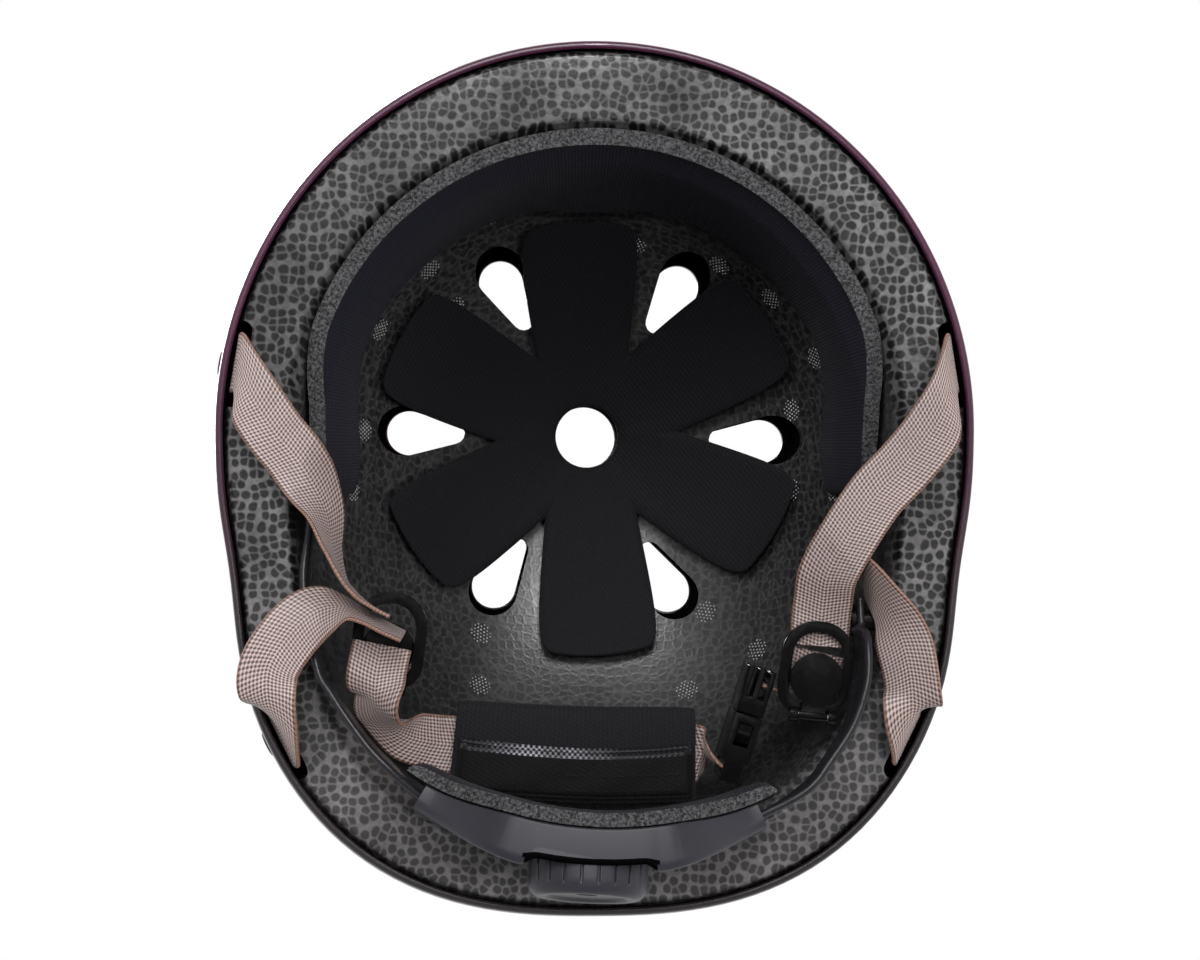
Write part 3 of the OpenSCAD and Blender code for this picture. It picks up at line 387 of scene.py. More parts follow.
def drop_outline(wide, long, tip):
    """A round end, straight flanks and a small inner tip that points at the crown."""
    big = wide / 2
    gap = long - big - tip
    lean = math.pi - math.acos((big - tip) / gap)
    arcs = ((gap / 2, big, np.linspace(-lean, lean, 29)),
            (-gap / 2, tip, np.linspace(lean, 2 * math.pi - lean, 7)))
    return [(x + r * math.cos(a), r * math.sin(a)) for x, r, turns in arcs for a in turns]


def prism(outline, low, high, matrix):
    """A straight sided cutter on an outline."""
    n = len(outline)
    points = [(x, y, z) for z in (low, high) for x, y in outline]
    faces = [tuple(range(n)), tuple(range(n, 2 * n))]
    faces += [(i, (i + 1) % n, n + (i + 1) % n, n + i) for i in range(n)]
    return mesh_object("cutter", points, faces, matrix=matrix)


def vent_cutters(grow):
    """Cutters for the round crown vent and the six drop shaped ones."""
    top = settings("helmet_shell").height + 0.02
    middle = Matrix.Translation((0, mid_y(), 0))
    outward = Matrix.Translation((VENT_RING_R, 0, 0))
    outline = drop_outline(VENT_W + 2 * grow, VENT_L + 2 * grow, VENT_TIP_R + grow)
    cutters = [prism(circle(CROWN_VENT_R + grow, 64), 0.05, top, STAND @ middle)]
    for i in range(6):
        place = middle @ Matrix.Rotation(math.pi / 3 * i + VENT_TURN, 4, "Z") @ outward
        cutters.append(prism(outline, 0.04, top, STAND @ place))
    return cutters


def rim_out(a):
    """Outward direction of the rim at an angle, which the superellipse turns from the radius."""
    dome = outer_dome()
    x, y, _ = dome_at(dome, a, dome.waist)
    power, depth = (dome.square, dome.back) if math.sin(a) > 0 else (2.0, dome.front)

    def slope(value, size):
        return math.copysign(abs(value / size) ** (power - 1) / size, value)

    return math.atan2(slope(y - mid_y(), depth), slope(x, dome.half))


def anchor_matrix(a, inset):
    """A space at a strap's rivet with X outward."""
    place = Matrix.Translation(dome_at(outer_dome(), a, RIVET_Z).tolist())
    return place @ Matrix.Rotation(rim_out(a), 4, "Z") @ Matrix.Translation((-inset, 0, 0))


# Points between two stations of a ribbon
RIBBON_STEPS = 8


def smooth(values, steps):
    """A smooth curve through a list of points, numbers or vectors alike."""
    p = np.asarray(values, float)
    ahead = np.vstack([p[:1], p, p[-1:]])
    out = []
    for i in range(len(p) - 1):
        a, b, c, d = ahead[i:i + 4]
        for k in range(steps):
            t = k / steps
            out.append(0.5 * (2 * b + (c - a) * t + (2 * a - 5 * b + 4 * c - d) * t ** 2
                              + (3 * b - a - 3 * c + d) * t ** 3))
    out.append(p[-1])
    return np.array(out)


def unit(v):
    return v / np.linalg.norm(v, axis=-1, keepdims=True)


def ribbon_frames(run, steps):
    """Centres, directions across and normals along a run of stations, each [centre, across, square].

    At a square of 0 the direction across stays as it is written, at 1 it is turned square to the run.
    """
    centre = smooth([s[0] for s in run], steps)
    across = smooth([s[1] for s in run], steps)
    square = smooth([[s[2] if len(s) > 2 else 1.0] for s in run], steps)
    along = unit(np.gradient(centre, axis=0))
    across = unit(across - along * np.sum(along * across, axis=1, keepdims=True) * square)
    return centre, across, unit(np.cross(along, across))


def distance_along(centre):
    steps = np.linalg.norm(np.diff(centre, axis=0), axis=1)
    return np.concatenate([[0], np.cumsum(steps)])


def ribbon_profile(wide, thick):
    """Outline of a flat strip with round edges: x across, y off its middle plane."""
    edge = thick / 2
    flat = wide / 2 - edge
    turn = np.linspace(0, math.pi, 5)
    across = np.linspace(-flat, flat, 12)
    top = [(x, edge) for x in across[:-1]]
    right = [(flat + edge * math.sin(a), edge * math.cos(a)) for a in turn]
    bottom = [(-x, -edge) for x in across[1:-1]]
    left = [(-flat - edge * math.sin(a), -edge * math.cos(a)) for a in turn[:-1]]
    return np.array(top + right + bottom + left)


def ribbon(name, run, wide, thick):
    """A strip with round edges along a run of stations, with its weave's place in its UVs."""
    centre, across, normal = ribbon_frames(run, RIBBON_STEPS)
    profile = ribbon_profile(wide, thick)
    rings = centre[:, None] + across[:, None] * profile[:, :1] + normal[:, None] * profile[:, 1:]
    rows, cols = len(centre), len(profile)
    along = distance_along(centre)[:, None]
    uv = np.stack(np.broadcast_arrays(profile[:, 0], along), axis=-1).reshape(-1, 2)
    faces = grid_faces(rows, cols, closed_cols=True)
    faces += [tuple(range(cols)), tuple(range((rows - 1) * cols, rows * cols))]
    return mesh_object(name, rings.reshape(-1, 3), faces, uv=uv, crease=60)


# Materials

class Recipe:
    """The node tree of a material or the world, written one node at a time."""

    def __init__(self, name, world=False):
        self.material = (bpy.data.worlds if world else bpy.data.materials).new(name)
        self.material.use_nodes = True
        self.tree = self.material.node_tree
        self.surface = self.tree.nodes["Background" if world else "Principled BSDF"]

    def node(self, kind, inputs=None, **options):
        made = self.tree.nodes.new("ShaderNode" + kind)
        for key, value in options.items():
            setattr(made, key, value)
        for key, value in (inputs or {}).items():
            self.give(made.inputs[key], value)
        return made

    def give(self, socket, value):
        if isinstance(value, bpy.types.NodeSocket):
            self.tree.links.new(value, socket)
        else:
            socket.default_value = value

    def set(self, **values):
        """Sets the surface's own sockets, whose names take an underscore for a space."""
        for key, value in values.items():
            self.give(self.surface.inputs[key.replace("_", " ")], value)

    def maths(self, operation, a, b=0.0, c=0.0):
        return self.node("Math", {0: a, 1: b, 2: c}, operation=operation).outputs[0]

    def times(self, a, b, more=0.0):
        """Two values multiplied, with more added."""
        return self.maths("MULTIPLY_ADD" if more else "MULTIPLY", a, b, more)

    def place(self):
        return self.node("TexCoord").outputs["Object"]

    def cloth(self):
        """A piece's place in its cloth, across and along, in metres."""
        return self.node("UVMap", uv_map="Cloth").outputs["UV"]

    def part(self, vector, axis):
        return self.node("SeparateXYZ", {"Vector": vector}).outputs[axis]

    def noise(self, scale, detail=3.0, roughness=0.55):
        made = self.node("TexNoise", {"Vector": self.place(), "Scale": scale,
                                      "Detail": detail, "Roughness": roughness})
        return made.outputs["Fac"]

    def hearts(self, scale):
        """Distance from the middle of the nearest cell."""
        made = self.node("TexVoronoi", {"Vector": self.place(), "Scale": scale}, feature="F1")
        return made.outputs["Distance"]

    def cells(self, place, dimensions, scale, randomness):
        """Distance from a cell's middle, distance to its edge and a random tone for each cell."""
        inputs = {"Vector": place, "Scale": scale, "Randomness": randomness}
        middle, edge = (self.node("TexVoronoi", inputs, feature=feature, voronoi_dimensions=dimensions)
                        for feature in ("F1", "DISTANCE_TO_EDGE"))
        tone = self.node("SeparateColor", {"Color": middle.outputs["Color"]}).outputs["Red"]
        return middle.outputs["Distance"], edge.outputs["Distance"], tone

    def spread(self, value, low, high, to_low=0.0, to_high=1.0, curve="LINEAR"):
        """Maps a value from one range to another."""
        inputs = {"Value": value, "From Min": low, "From Max": high, "To Min": to_low, "To Max": to_high}
        return self.node("MapRange", inputs, interpolation_type=curve).outputs["Result"]

    def soft(self, value, low, high, to_low=0.0, to_high=1.0):
        """Maps a value from one range to another with smooth ends."""
        return self.spread(value, low, high, to_low, to_high, "SMOOTHSTEP")

    def mix(self, factor, a, b, blend="MIX"):
        made = self.node("Mix", data_type="RGBA", blend_type=blend)
        self.give(made.inputs["Factor"], factor)
        self.give(made.inputs["A"], rgba(a))
        self.give(made.inputs["B"], rgba(b))
        return made.outputs["Result"]

    def bump(self, height, distance, strength=0.8):
        made = self.node("Bump", {"Height": height, "Distance": distance, "Strength": strength})
        return made.outputs["Normal"]


def rgba(value):
    if isinstance(value, bpy.types.NodeSocket):
        return value
    return (*value[:3], 1.0)


def shaded(value, share):
    """A colour made lighter or darker by a share."""
    return tuple(min(1.0, c * share) for c in value[:3])


def grey(level, blue=0.0):
    """A grey, or one that is a little bluer."""
    return (level, level, level + blue)


def satin_shell():
    """Plum plastic with a satin coat and a faint orange peel; it turns near black towards the back, a painted
    shade.
    """
    base = settings("helmet_shell").shell_colour
    r = Recipe("satin_plum")
    clouds = r.noise(18.0, 4.0)
    grain = r.noise(900.0, 2.0)
    plum = r.mix(clouds, shaded(base, 0.8), shaded(base, 1.25))
    # Painted shade: the plum is mixed to near black towards the back, the side less light falls on.
    back = r.soft(r.part(r.place(), "Y"), -0.05, 0.06)
    r.set(Base_Color=r.mix(back, plum, (0.010, 0.007, 0.009)),
          Roughness=r.spread(grain, 0.3, 0.7, 0.27, 0.36),
          Normal=r.bump(grain, 0.00002, 0.5),
          Specular_IOR_Level=0.32, Coat_Weight=0.15, Coat_Roughness=0.18)
    return r.material


BEAD_SCALE = 350.0


def bead_foam():
    """Fused foam beads: dark round hearts and pale borders, a little paler at the back; inside, whole beads with
    thin seams in darker tones, partly painted shade.
    """
    s = settings("helmet_shell")
    r = Recipe("bead_foam")
    place = r.place()
    up = Vector(STAND.col[2][:3])
    height = r.node("VectorMath", {0: place, 1: up}, operation="DOT_PRODUCT").outputs["Value"]
    level = up.dot(STAND.translation)
    inside = r.soft(height, level + 0.005, level + 0.012)
    back = r.soft(r.part(place, "Y"), 0.02, 0.10)
    patches = r.spread(r.noise(30.0), 0.35, 0.68)
    broken = r.spread(r.noise(620.0, 2.0), 0.36, 0.62)

    # The rim, where the beads are cut flat
    wander = r.node("TexNoise", {"Vector": place, "Scale": 90.0}).outputs["Color"]
    sway = r.node("VectorMath", {0: wander, 1: grey(0.0035)}, operation="MULTIPLY").outputs["Vector"]
    swayed = r.node("VectorMath", {0: place, 1: sway}, operation="ADD").outputs["Vector"]
    heart, seam, tone = r.cells(swayed, "2D", BEAD_SCALE, 0.60)
    border = r.soft(heart, 0.34, 0.56)
    line = r.times(r.soft(seam, 0.0, 0.20, 1.0, 0.0), 0.7)
    worn = r.times(r.maths("MAXIMUM", border, line), r.spread(broken, 0, 1, 0.65, 1.0))
    worn = r.times(worn, r.spread(back, 0, 1, 1.0, 0.85), r.spread(back, 0, 1, 0.0, 0.19))
    bead = r.mix(tone, shaded(s.bead_colour, 0.50), shaded(s.bead_colour, 0.95))
    skin = r.mix(patches, shaded(s.skin_colour, 0.85), shaded(s.skin_colour, 1.60))
    rim = r.mix(1.0, r.mix(worn, bead, skin), r.mix(back, grey(1), (1.08, 1.05, 1.07)), "MULTIPLY")

    # The room, with thin seams between whole beads; its darker borders are painted shade of the inside
    heart, seam, tone = r.cells(place, "3D", BEAD_SCALE, 0.62)
    seam = r.soft(seam, 0.02, 0.22, 1.0, 0.0)
    seam = r.maths("MAXIMUM", seam, r.soft(heart, 0.54, 0.72))
    dark = r.mix(tone, shaded(s.bead_colour, 0.6), shaded(s.bead_colour, 1.25))
    room = r.mix(r.times(seam, r.spread(broken, 0, 1, 0.15, 0.75)), dark, shaded(s.skin_colour, 0.62))

    relief = r.times(r.noise(1300.0, 2.0), 0.5, r.times(seam, -0.25))
    shine = r.times(patches, r.spread(inside, 0, 1, 0.16, 0.35), r.spread(inside, 0, 1, 0.10, 0.45))
    r.set(Base_Color=r.mix(inside, rim, room),
          Roughness=r.spread(patches, 0, 1, 0.44, 0.30),
          Specular_IOR_Level=shine,
          Normal=r.bump(relief, 0.00014))
    return r.material


def vent_wall_shade():
    """Near-black walls of the vents, with a trace of beads: the foam darkened as painted shade."""
    r = Recipe("vent_wall_shade")
    beads = r.hearts(330.0)
    r.set(Base_Color=r.mix(beads, grey(0.001), grey(0.004)),
          Roughness=r.spread(beads, 0, 1, 0.70, 0.90),
          Specular_IOR_Level=0.0,
          Normal=r.bump(beads, 0.0001, 0.6))
    return r.material


def painted_glint_bumps():
    """Glossy little bumps that a moulding tool leaves on the foam, with a pale base colour as a painted highlight.
    """
    base = settings("helmet_shell").skin_colour
    r = Recipe("painted_glint_bumps")
    r.set(Base_Color=r.mix(r.noise(1500.0), shaded(base, 1.6), shaded(base, 5.0)),
          Roughness=r.spread(r.noise(700.0), 0.3, 0.7, 0.18, 0.34))
    return r.material


def knit(name, base, pitch, lean, sheen=0.03):
    """Fine knit whose ribs run at a lean, with loops along each rib and a little lint."""
    r = Recipe(name)
    turned = r.node("VectorRotate", {"Vector": r.cloth(), "Angle": lean}, rotation_type="Z_AXIS")
    x, y = (r.part(turned.outputs["Vector"], axis) for axis in "XY")
    turns = 2 * math.pi / pitch
    rib = r.maths("SINE", r.times(x, turns))
    loop = r.maths("SINE", r.times(x, turns / 2, r.times(y, turns)))
    fuzz = r.noise(1700.0)
    height = r.maths("ADD", r.times(rib, 0.5, 0.5), r.times(loop, 0.35))
    tone = r.spread(height, -0.3, 1.3)
    lint = r.spread(fuzz, 0.35, 0.75)
    cloth = r.mix(tone, shaded(base, 0.45), shaded(base, 1.5))
    r.set(Base_Color=r.mix(r.times(lint, 0.35), cloth, shaded(base, 2.6)),
          Roughness=r.spread(fuzz, 0.3, 0.7, 0.78, 0.95),
          Normal=r.bump(r.times(fuzz, 0.8, height), 0.00012),
          Specular_IOR_Level=0.12, Sheen_Weight=sheen, Sheen_Roughness=0.5)
    return r.material


DOT_PITCH = 0.0016


def satin_binding():
    """Shiny binding tape with a dotted weave and a painted highlight midway along."""
    r = Recipe("satin_binding")
    across, along = (r.part(r.cloth(), axis) for axis in "XY")
    dots = r.times(*(r.maths("SINE", r.times(way, 2 * math.pi / DOT_PITCH)) for way in (across, along)))
    # Painted highlight: the tape's colour is brightened midway along and fades at both ends.
    painted_highlight = r.times(r.soft(along, 0.004, 0.020),
                  r.soft(along, 0.032, 0.048, 1.0, 0.0))
    painted_highlight = r.times(painted_highlight, r.spread(r.noise(150.0, 2.0), 0.36, 0.58, 0.35, 1.0))
    highlight_colour = r.mix(painted_highlight, grey(0.012, 0.002), grey(0.34, 0.03))
    r.set(Base_Color=r.mix(r.spread(dots, -0.3, 0.5), grey(0.006, 0.002), highlight_colour),
          Roughness=r.spread(dots, -1, 1, 0.6, 0.35),
          Specular_IOR_Level=0.15,
          Normal=r.bump(dots, 0.00012))
    return r.material


def cut_foam():
    """Open cells of a pad's cut edge: grey with pale and dark specks."""
    base = settings("helmet_pads").foam_colour
    r = Recipe("cut_foam")
    specks = r.noise(1150.0, 4.0, 0.8)
    soft = r.noise(260.0, 2.0)
    tone = r.times(r.spread(specks, 0.42, 0.66), 0.85, r.times(soft, 0.2))
    r.set(Base_Color=r.mix(tone, shaded(base, 0.05), shaded(base, 2.7)),
          Roughness=r.spread(soft, 0.3, 0.7, 0.85, 0.97),
          Normal=r.bump(specks, 0.00028),
          Specular_IOR_Level=0.06)
    return r.material


def woven_webbing():
    """Plain weave: a grid of pale threads over dark gaps, and copper brown threads along both edges."""
    s = settings("helmet_webbing")
    r = Recipe("plain_webbing")
    u, v = (r.part(r.cloth(), axis) for axis in "XY")
    side = r.maths("ABSOLUTE", u)
    slant = r.times(side, 0.30, v)
    columns, rows = (r.maths("COSINE", r.times(way, 2 * math.pi / s.thread)) for way in (u, slant))
    knots = r.maths("ADD", columns, rows)
    height = r.soft(knots, -1.5, 1.2)
    fibre = r.noise(3600.0, 2.0)
    tint = r.noise(60.0, 2.0)
    threads = r.mix(tint, shaded(s.colour, 0.85), shaded(s.colour, 1.18))
    weave = r.mix(height, (0.042, 0.026, 0.023), threads)
    edge = r.spread(side, s.width / 2 - 0.0009, s.width / 2 - 0.0005)
    edging = r.mix(height, (0.030, 0.016, 0.010), s.edge_colour)
    r.set(Base_Color=r.mix(edge, weave, edging),
          Roughness=r.spread(fibre, 0.3, 0.7, 0.42, 0.62),
          Normal=r.bump(r.times(fibre, 0.25, height), 0.00022),
          Specular_IOR_Level=0.45, Sheen_Weight=0.10, Sheen_Roughness=0.4)
    return r.material


def moulded(name, base, rough, shine, grain_scale=1400.0, depth=0.00002, coat=0.0):
    """Moulded plastic with a fine grain, soft clouding and uneven gloss."""
    r = Recipe(name)
    grain = r.noise(grain_scale)
    clouds = r.noise(45.0)
    r.set(Base_Color=r.mix(clouds, shaded(base, 0.82), shaded(base, 1.22)),
          Roughness=r.spread(grain, 0.3, 0.7, rough - 0.05, rough + 0.07),
          Normal=r.bump(grain, depth, 0.6),
          Coat_Weight=coat, Coat_Roughness=0.12, Specular_IOR_Level=shine)
    return r.material


def turned_steel():
    r = Recipe("turned_steel")
    lines = r.noise(1200.0, 2.0)
    r.set(Base_Color=r.mix(lines, grey(0.42, 0.01), grey(0.62, 0.01)),
          Metallic=1.0,
          Roughness=r.spread(lines, 0.3, 0.7, 0.25, 0.4),
          Normal=r.bump(lines, 0.00002, 0.5))
    return r.material


def hook_tape():
    r = Recipe("hook_tape")
    hooks = r.spread(r.hearts(1500.0), 0.1, 0.6, 1.0, 0.0)
    r.set(Base_Color=r.mix(hooks, grey(0.006), grey(0.035, 0.002)),
          Roughness=r.spread(hooks, 0, 1, 0.7, 0.45),
          Normal=r.bump(hooks, 0.0003))
    return r.material


def stock(recipe):
    """The material a recipe is named after, made when it is first asked for."""
    return bpy.data.materials.get(recipe.__name__) or recipe()


def slate_plastic():
    return moulded("slate_plastic", settings("helmet_cradle").slate_colour, 0.42, 0.15)


def gloss_black():
    base = settings("helmet_cradle").gloss_colour
    return moulded("gloss_black", base, 0.17, 0.12, grain_scale=500.0, depth=0.000008, coat=0.08)


# The belts take the cradle's slate darkened to 0.4 as painted shade.
def shaded_belt_slate():
    base = shaded(settings("helmet_cradle").slate_colour, 0.4)
    return moulded("shaded_belt_slate", base, 0.30, 0.22, grain_scale=700.0)


# Matt black painted on the recess over the knob as the shade in the gap there.
def painted_gap_shade():
    return moulded("painted_gap_shade", grey(0.002), 0.9, 0.0)


# Shell and liner

def cup(name, rings, outer_top, inner_top):
    """A cup shaped solid: rings from the outer top down, round the lip and up inside."""
    count = len(rings[0])
    points = np.vstack([*rings, [(0, mid_y(), outer_top)], [(0, mid_y(), inner_top)]])
    last = (len(rings) - 1) * count
    faces = grid_faces(len(rings), count, closed_cols=True)
    faces += [(len(points) - 2, (i + 1) % count, i) for i in range(count)]
    faces += [(len(points) - 1, last + i, last + (i + 1) % count) for i in range(count)]
    return mesh_object(name, points, faces)


class HELMET_OT_shell(bpy.types.Operator):
    """Make the hard outer shell with its rolled lip and vents"""

    bl_idname = "helmet.shell"
    bl_label = "Shell"

    def execute(self, context):
        s = context.scene.helmet_shell
        half = s.wall / 2
        outer = [dome_ring(outer_dome(), share) for share in DOME_SHARES]
        lip = [dome_ring(outer_dome(half * (1 - math.cos(a))), 0, -half * math.sin(a))
               for a in np.radians(range(15, 180, 15))]
        inner = [dome_ring(outer_dome(s.wall), share) for share in reversed(DOME_SHARES)]
        shell = cup("shell", outer + lip + inner, s.height, s.height - s.wall)
        cut(shell, vent_cutters(0.0))
        finish_piece(shell, [satin_shell()], stands_for=["outer_shell"])
        dress("strap_rivets", shell.data.materials[0])
        return {"FINISHED"}


def rounded_box(wide, deep, corner):
    """Outline of a rectangle with round corners."""
    outline = []
    for k, (sx, sy) in enumerate(((1, 1), (-1, 1), (-1, -1), (1, -1))):
        for turn in np.linspace(k, k + 1, 5) * math.pi / 2:
            outline.append((sx * (wide / 2 - corner) + corner * math.cos(turn),
                            sy * (deep / 2 - corner) + corner * math.sin(turn)))
    return outline


# The liner's rim, from its round outer edge over its flat face to the bevel of the room
RIM_EDGE_W = 0.0012
RIM_EDGE_H = 0.0018
RIM_LIFT = 0.0002
RIM_FACE = (0.012, 0.006, 0.0025, 0.0014)
ROOM_EDGE_R = 0.0012
BEVEL_RISE = 0.0076
POCKET_REACH = 0.024
POCKET_OPEN = 0.004
POCKET_CORNER = 0.003
VENT_WALLS_R = 0.071
VENT_WALLS_Z = 0.05


class HELMET_OT_liner(bpy.types.Operator):
    """Make the foam liner with its room, vents and strap pockets"""

    bl_idname = "helmet.liner"
    bl_label = "Foam liner"

    def execute(self, context):
        s = context.scene.helmet_shell
        inset = s.wall + LINER_GAP
        rim = inset + LINER_RIM_GAP
        rings = [dome_ring(outer_dome(inset), share) for share in DOME_SHARES[:-1]]
        for a in np.radians(range(0, 91, 15)):
            lift = RIM_LIFT + RIM_EDGE_H * (1 - math.sin(a))
            rings.append(dome_ring(outer_dome(rim + RIM_EDGE_W * (1 - math.cos(a))), 0, lift))
        rings += [dome_ring(room_dome(-out), 0, RIM_LIFT) for out in RIM_FACE]
        for a in np.radians(range(10, 91, 16)):
            lift = RIM_LIFT + ROOM_EDGE_R * (1 - math.cos(a))
            rings.append(dome_ring(room_dome(ROOM_EDGE_R * (math.sin(a) - 1)), 0, lift))
        for share in (0.25, 0.5, 0.75, 1.0):
            lift = RIM_LIFT + ROOM_EDGE_R + BEVEL_RISE * share
            rings.append(dome_ring(room_dome(s.bevel * share), 0, lift))
        inner = (dome_ring(room_dome(s.bevel), share) for share in reversed(DOME_SHARES[:-1]))
        rings += [ring for ring in inner if ring[0][2] > 0.016]
        liner = cup("liner", rings, s.height - inset, s.room_height - s.bevel)
        outline = rounded_box(POCKET_REACH, POCKET_W, POCKET_CORNER)
        pockets = []
        for a in ANCHOR_ANGLES:
            place = STAND @ anchor_matrix(a, s.wall + POCKET_D - POCKET_REACH / 2)
            pockets.append(prism(outline, -RIVET_Z - POCKET_OPEN, POCKET_TOP - RIVET_Z, place))
        cut(liner, vent_cutters(0.0005) + pockets)
        self.mark_vent_walls(liner.data)
        finish_piece(liner, [bead_foam(), vent_wall_shade()], stands_for=["foam_liner"])
        return {"FINISHED"}

    def mark_vent_walls(self, mesh):
        """Gives the upright walls round the vents the second material, the near-black painted shade."""
        back = STAND.inverted()
        up = Vector(STAND.col[2][:3])
        for face in mesh.polygons:
            x, y, z = back @ face.center
            upright = abs(face.normal.dot(up)) < 0.3
            if upright and z > VENT_WALLS_Z and math.hypot(x, y - mid_y()) < VENT_WALLS_R:
                face.material_index = 1


# Places of the moulded dot clusters in the photograph, in its own pixels
CLUSTER_PIXELS = ((437, 270), (497, 218), (387, 330), (372, 430), (360, 490), (463, 307), (672, 200),
                  (643, 245), (727, 265), (778, 298), (822, 358), (800, 410), (840, 415), (800, 490),
                  (840, 490), (715, 612), (765, 650), (490, 633), (695, 690), (410, 660), (488, 685))
CLUSTER_R = 0.0034
BUMP_R = 0.00040
BUMP_H = 1.6 * BUMP_R
BUMP_PITCH = 0.00122
BUMP_SIDES = 8
# Rings of a bump, as shares of its radius and its height
BUMP_RINGS = ((1.0, 0.0), (0.92, 0.35), (0.55, 0.72))
BUMP_TOP = 0.85

# Middle of the photograph's view of the rim plane, in pixels, and the plane's metres per pixel
VIEW_X = 597.0
VIEW_Y = 479.0
VIEW_SCALE = 0.000285


def on_room(px, py, inset):
    """Where a pixel's line of sight meets the inside of the liner, and the surface's inward normal."""
    dome = room_dome(inset)

    def beyond(p):
        flat = np.hypot(p[0], p[1] - mid_y())
        return flat - plan_r(dome, np.arctan2(p[1] - mid_y(), p[0])) * rise(dome, p[2])

    scale = VIEW_SCALE / settings("helmet_stage").distance
    slope = np.array([(px - VIEW_X) * scale, (py - VIEW_Y) * scale, 1.0])
    start = np.array([(px - VIEW_X) * VIEW_SCALE, (py - VIEW_Y) * VIEW_SCALE, 0.0])
    low, high = 0.0, dome.top - 0.0001
    for _ in range(40):
        middle = (low + high) / 2
        if beyond(start + slope * middle) < 0:
            low = middle
        else:
            high = middle
    p = start + slope * low
    tiny = 0.0005
    grad = np.array([(beyond(p + tiny * axis) - beyond(p - tiny * axis)) / tiny for axis in np.eye(3)])
    return p, -unit(grad)


def hex_places(radius, pitch):
    """Places of a hexagonal pattern within a circle."""
    reach = int(radius / pitch) + 2
    found = []
    for j in range(-reach, reach + 1):
        for i in range(-reach, reach + 1):
            x, y = pitch * (i + 0.5 * (j % 2)), pitch * 0.866 * j
            if math.hypot(x, y) <= radius:
                found.append((x, y))
    return found


def across_axes(normal):
    """Two directions square to a normal."""
    first = unit(np.cross(normal, [0.0, 0.0, 1.0] if abs(normal[2]) < 0.9 else [1.0, 0.0, 0.0]))
    return first, np.cross(normal, first)


class HELMET_OT_bumps(bpy.types.Operator):
    """Make the clusters of tiny bumps that the moulding tool leaves inside the liner"""

    bl_idname = "helmet.bumps"
    bl_label = "Moulded bumps"

    def execute(self, context):
        points, faces = [], []
        sides = BUMP_SIDES
        for px, py in CLUSTER_PIXELS:
            centre, normal = on_room(px, py, context.scene.helmet_shell.bevel)
            u, v = across_axes(normal)
            for x, y in hex_places(CLUSTER_R, BUMP_PITCH):
                foot = centre + u * x + v * y - normal * (0.00025 + 2.2 * (x * x + y * y))
                first = len(points)
                for r, h in BUMP_RINGS:
                    middle = foot + normal * BUMP_H * h
                    points += [middle + u * p + v * q for p, q in circle(BUMP_R * r, sides)]
                points.append(foot + normal * BUMP_H * BUMP_TOP)
                faces += grid_faces(3, sides, closed_cols=True, first=first)
                last = first + 2 * sides
                faces += [(last + i, last + (i + 1) % sides, last + sides) for i in range(sides)]
        bumps = mesh_object("moulded_bumps", np.array(points), faces, crease=80)
        finish_piece(bumps, [painted_glint_bumps()])
        return {"FINISHED"}


# Webbing. The stations are millimetres in the helmet's own space: [centre, direction across]

def stations(rows):
    return [(np.array(row[0]) * MM, np.array(row[1], float), *row[2:]) for row in rows]


def anchored(a):
    """The end of a strap in its pocket, from the top down to the rim."""
    s = settings("helmet_shell")
    out = rim_out(a)
    outward = np.array([math.cos(out), math.sin(out), 0.0])
    across = np.array([-math.sin(out), math.cos(out), 0.0])
    inset = s.wall + 0.0013 + settings("helmet_webbing").thickness / 2
    rows = ((POCKET_TOP - 0.006, 0.0, 1.0), (RIVET_Z, 0.0, 1.0),
            (0.008, 0.0003, 1.0), (-0.0025, 0.0008, 0.0))
    return [(dome_at(outer_dome(), a, z) - (inset + more) * outward, across, square)
            for z, more, square in rows]


LEFT_FRONT = [
    ([99.2, -21.5, -5.8], [0.5, 0.85, 0], 0),
    ([94.8, -13, -5.4], [0.72, 0.69, 0], 0.3),
    ([87.5, -4, -4.8], [0.77, 0.63, 0]),
    ([79, 5, -4.8], [0.88, 0.47, 0]),
    ([71, 17, -4.4], [0.9, 0.43, -0.05]),
    ([65.9, 27, -2.2], [0.92, 0.27, -0.15]),
    ([65, 35, 2], [0.96, 0.12, -0.1]),
    ([64.5, 42, 3.9], [0.99, 0.1, 0]),
    ([64, 48, 3.8], [0.99, 0.11, 0]),
]

LEFT_REAR = [
    ([89, 64, -9], [-0.62, 0.7, 0.25]),
    ([88.6, 56, -9.2], [-0.77, 0.4, 0.45]),
    ([86.8, 47, -7.6], [-0.87, 0.13, 0.47]),
    ([83.6, 38, -4], [-0.55, -0.1, 0.83]),
    ([78.4, 29.3, 2], [-0.3, 0.1, 0.95]),
    ([74.4, 25, 8.5], [0.1, 0.1, 0.99]),
    ([70, 27.6, 12], [0.5, 0.1, 0.85]),
    ([66.3, 33.5, 12], [0.85, 0.1, 0.5]),
    ([64.9, 40, 9], [0.96, 0.1, 0.15]),
    ([64.5, 47, 5.4], [0.99, 0.11, 0]),
]

RIGHT_FRONT = [
    ([-97.8, -24, -6], [0.6, -0.78, 0], 0),
    ([-91.4, -13.8, -6], [0.8, -0.6, 0]),
    ([-84.1, -4.5, -5.5], [0.8, -0.6, 0.1]),
    ([-77.8, 7.5, -4], [0.6, -0.25, 0.75]),
    ([-75.3, 19, -6], [0.22, -0.05, 0.97]),
    ([-72.1, 27.4, -8.5], [0, 0, 1]),
    ([-68, 32.6, -9.2], [-0.05, 0, 1]),
    ([-63.5, 36, -9.3], [-0.05, 0.05, 1]),
    ([-58.6, 38.6, -9.3], [-0.05, 0.05, 1]),
]

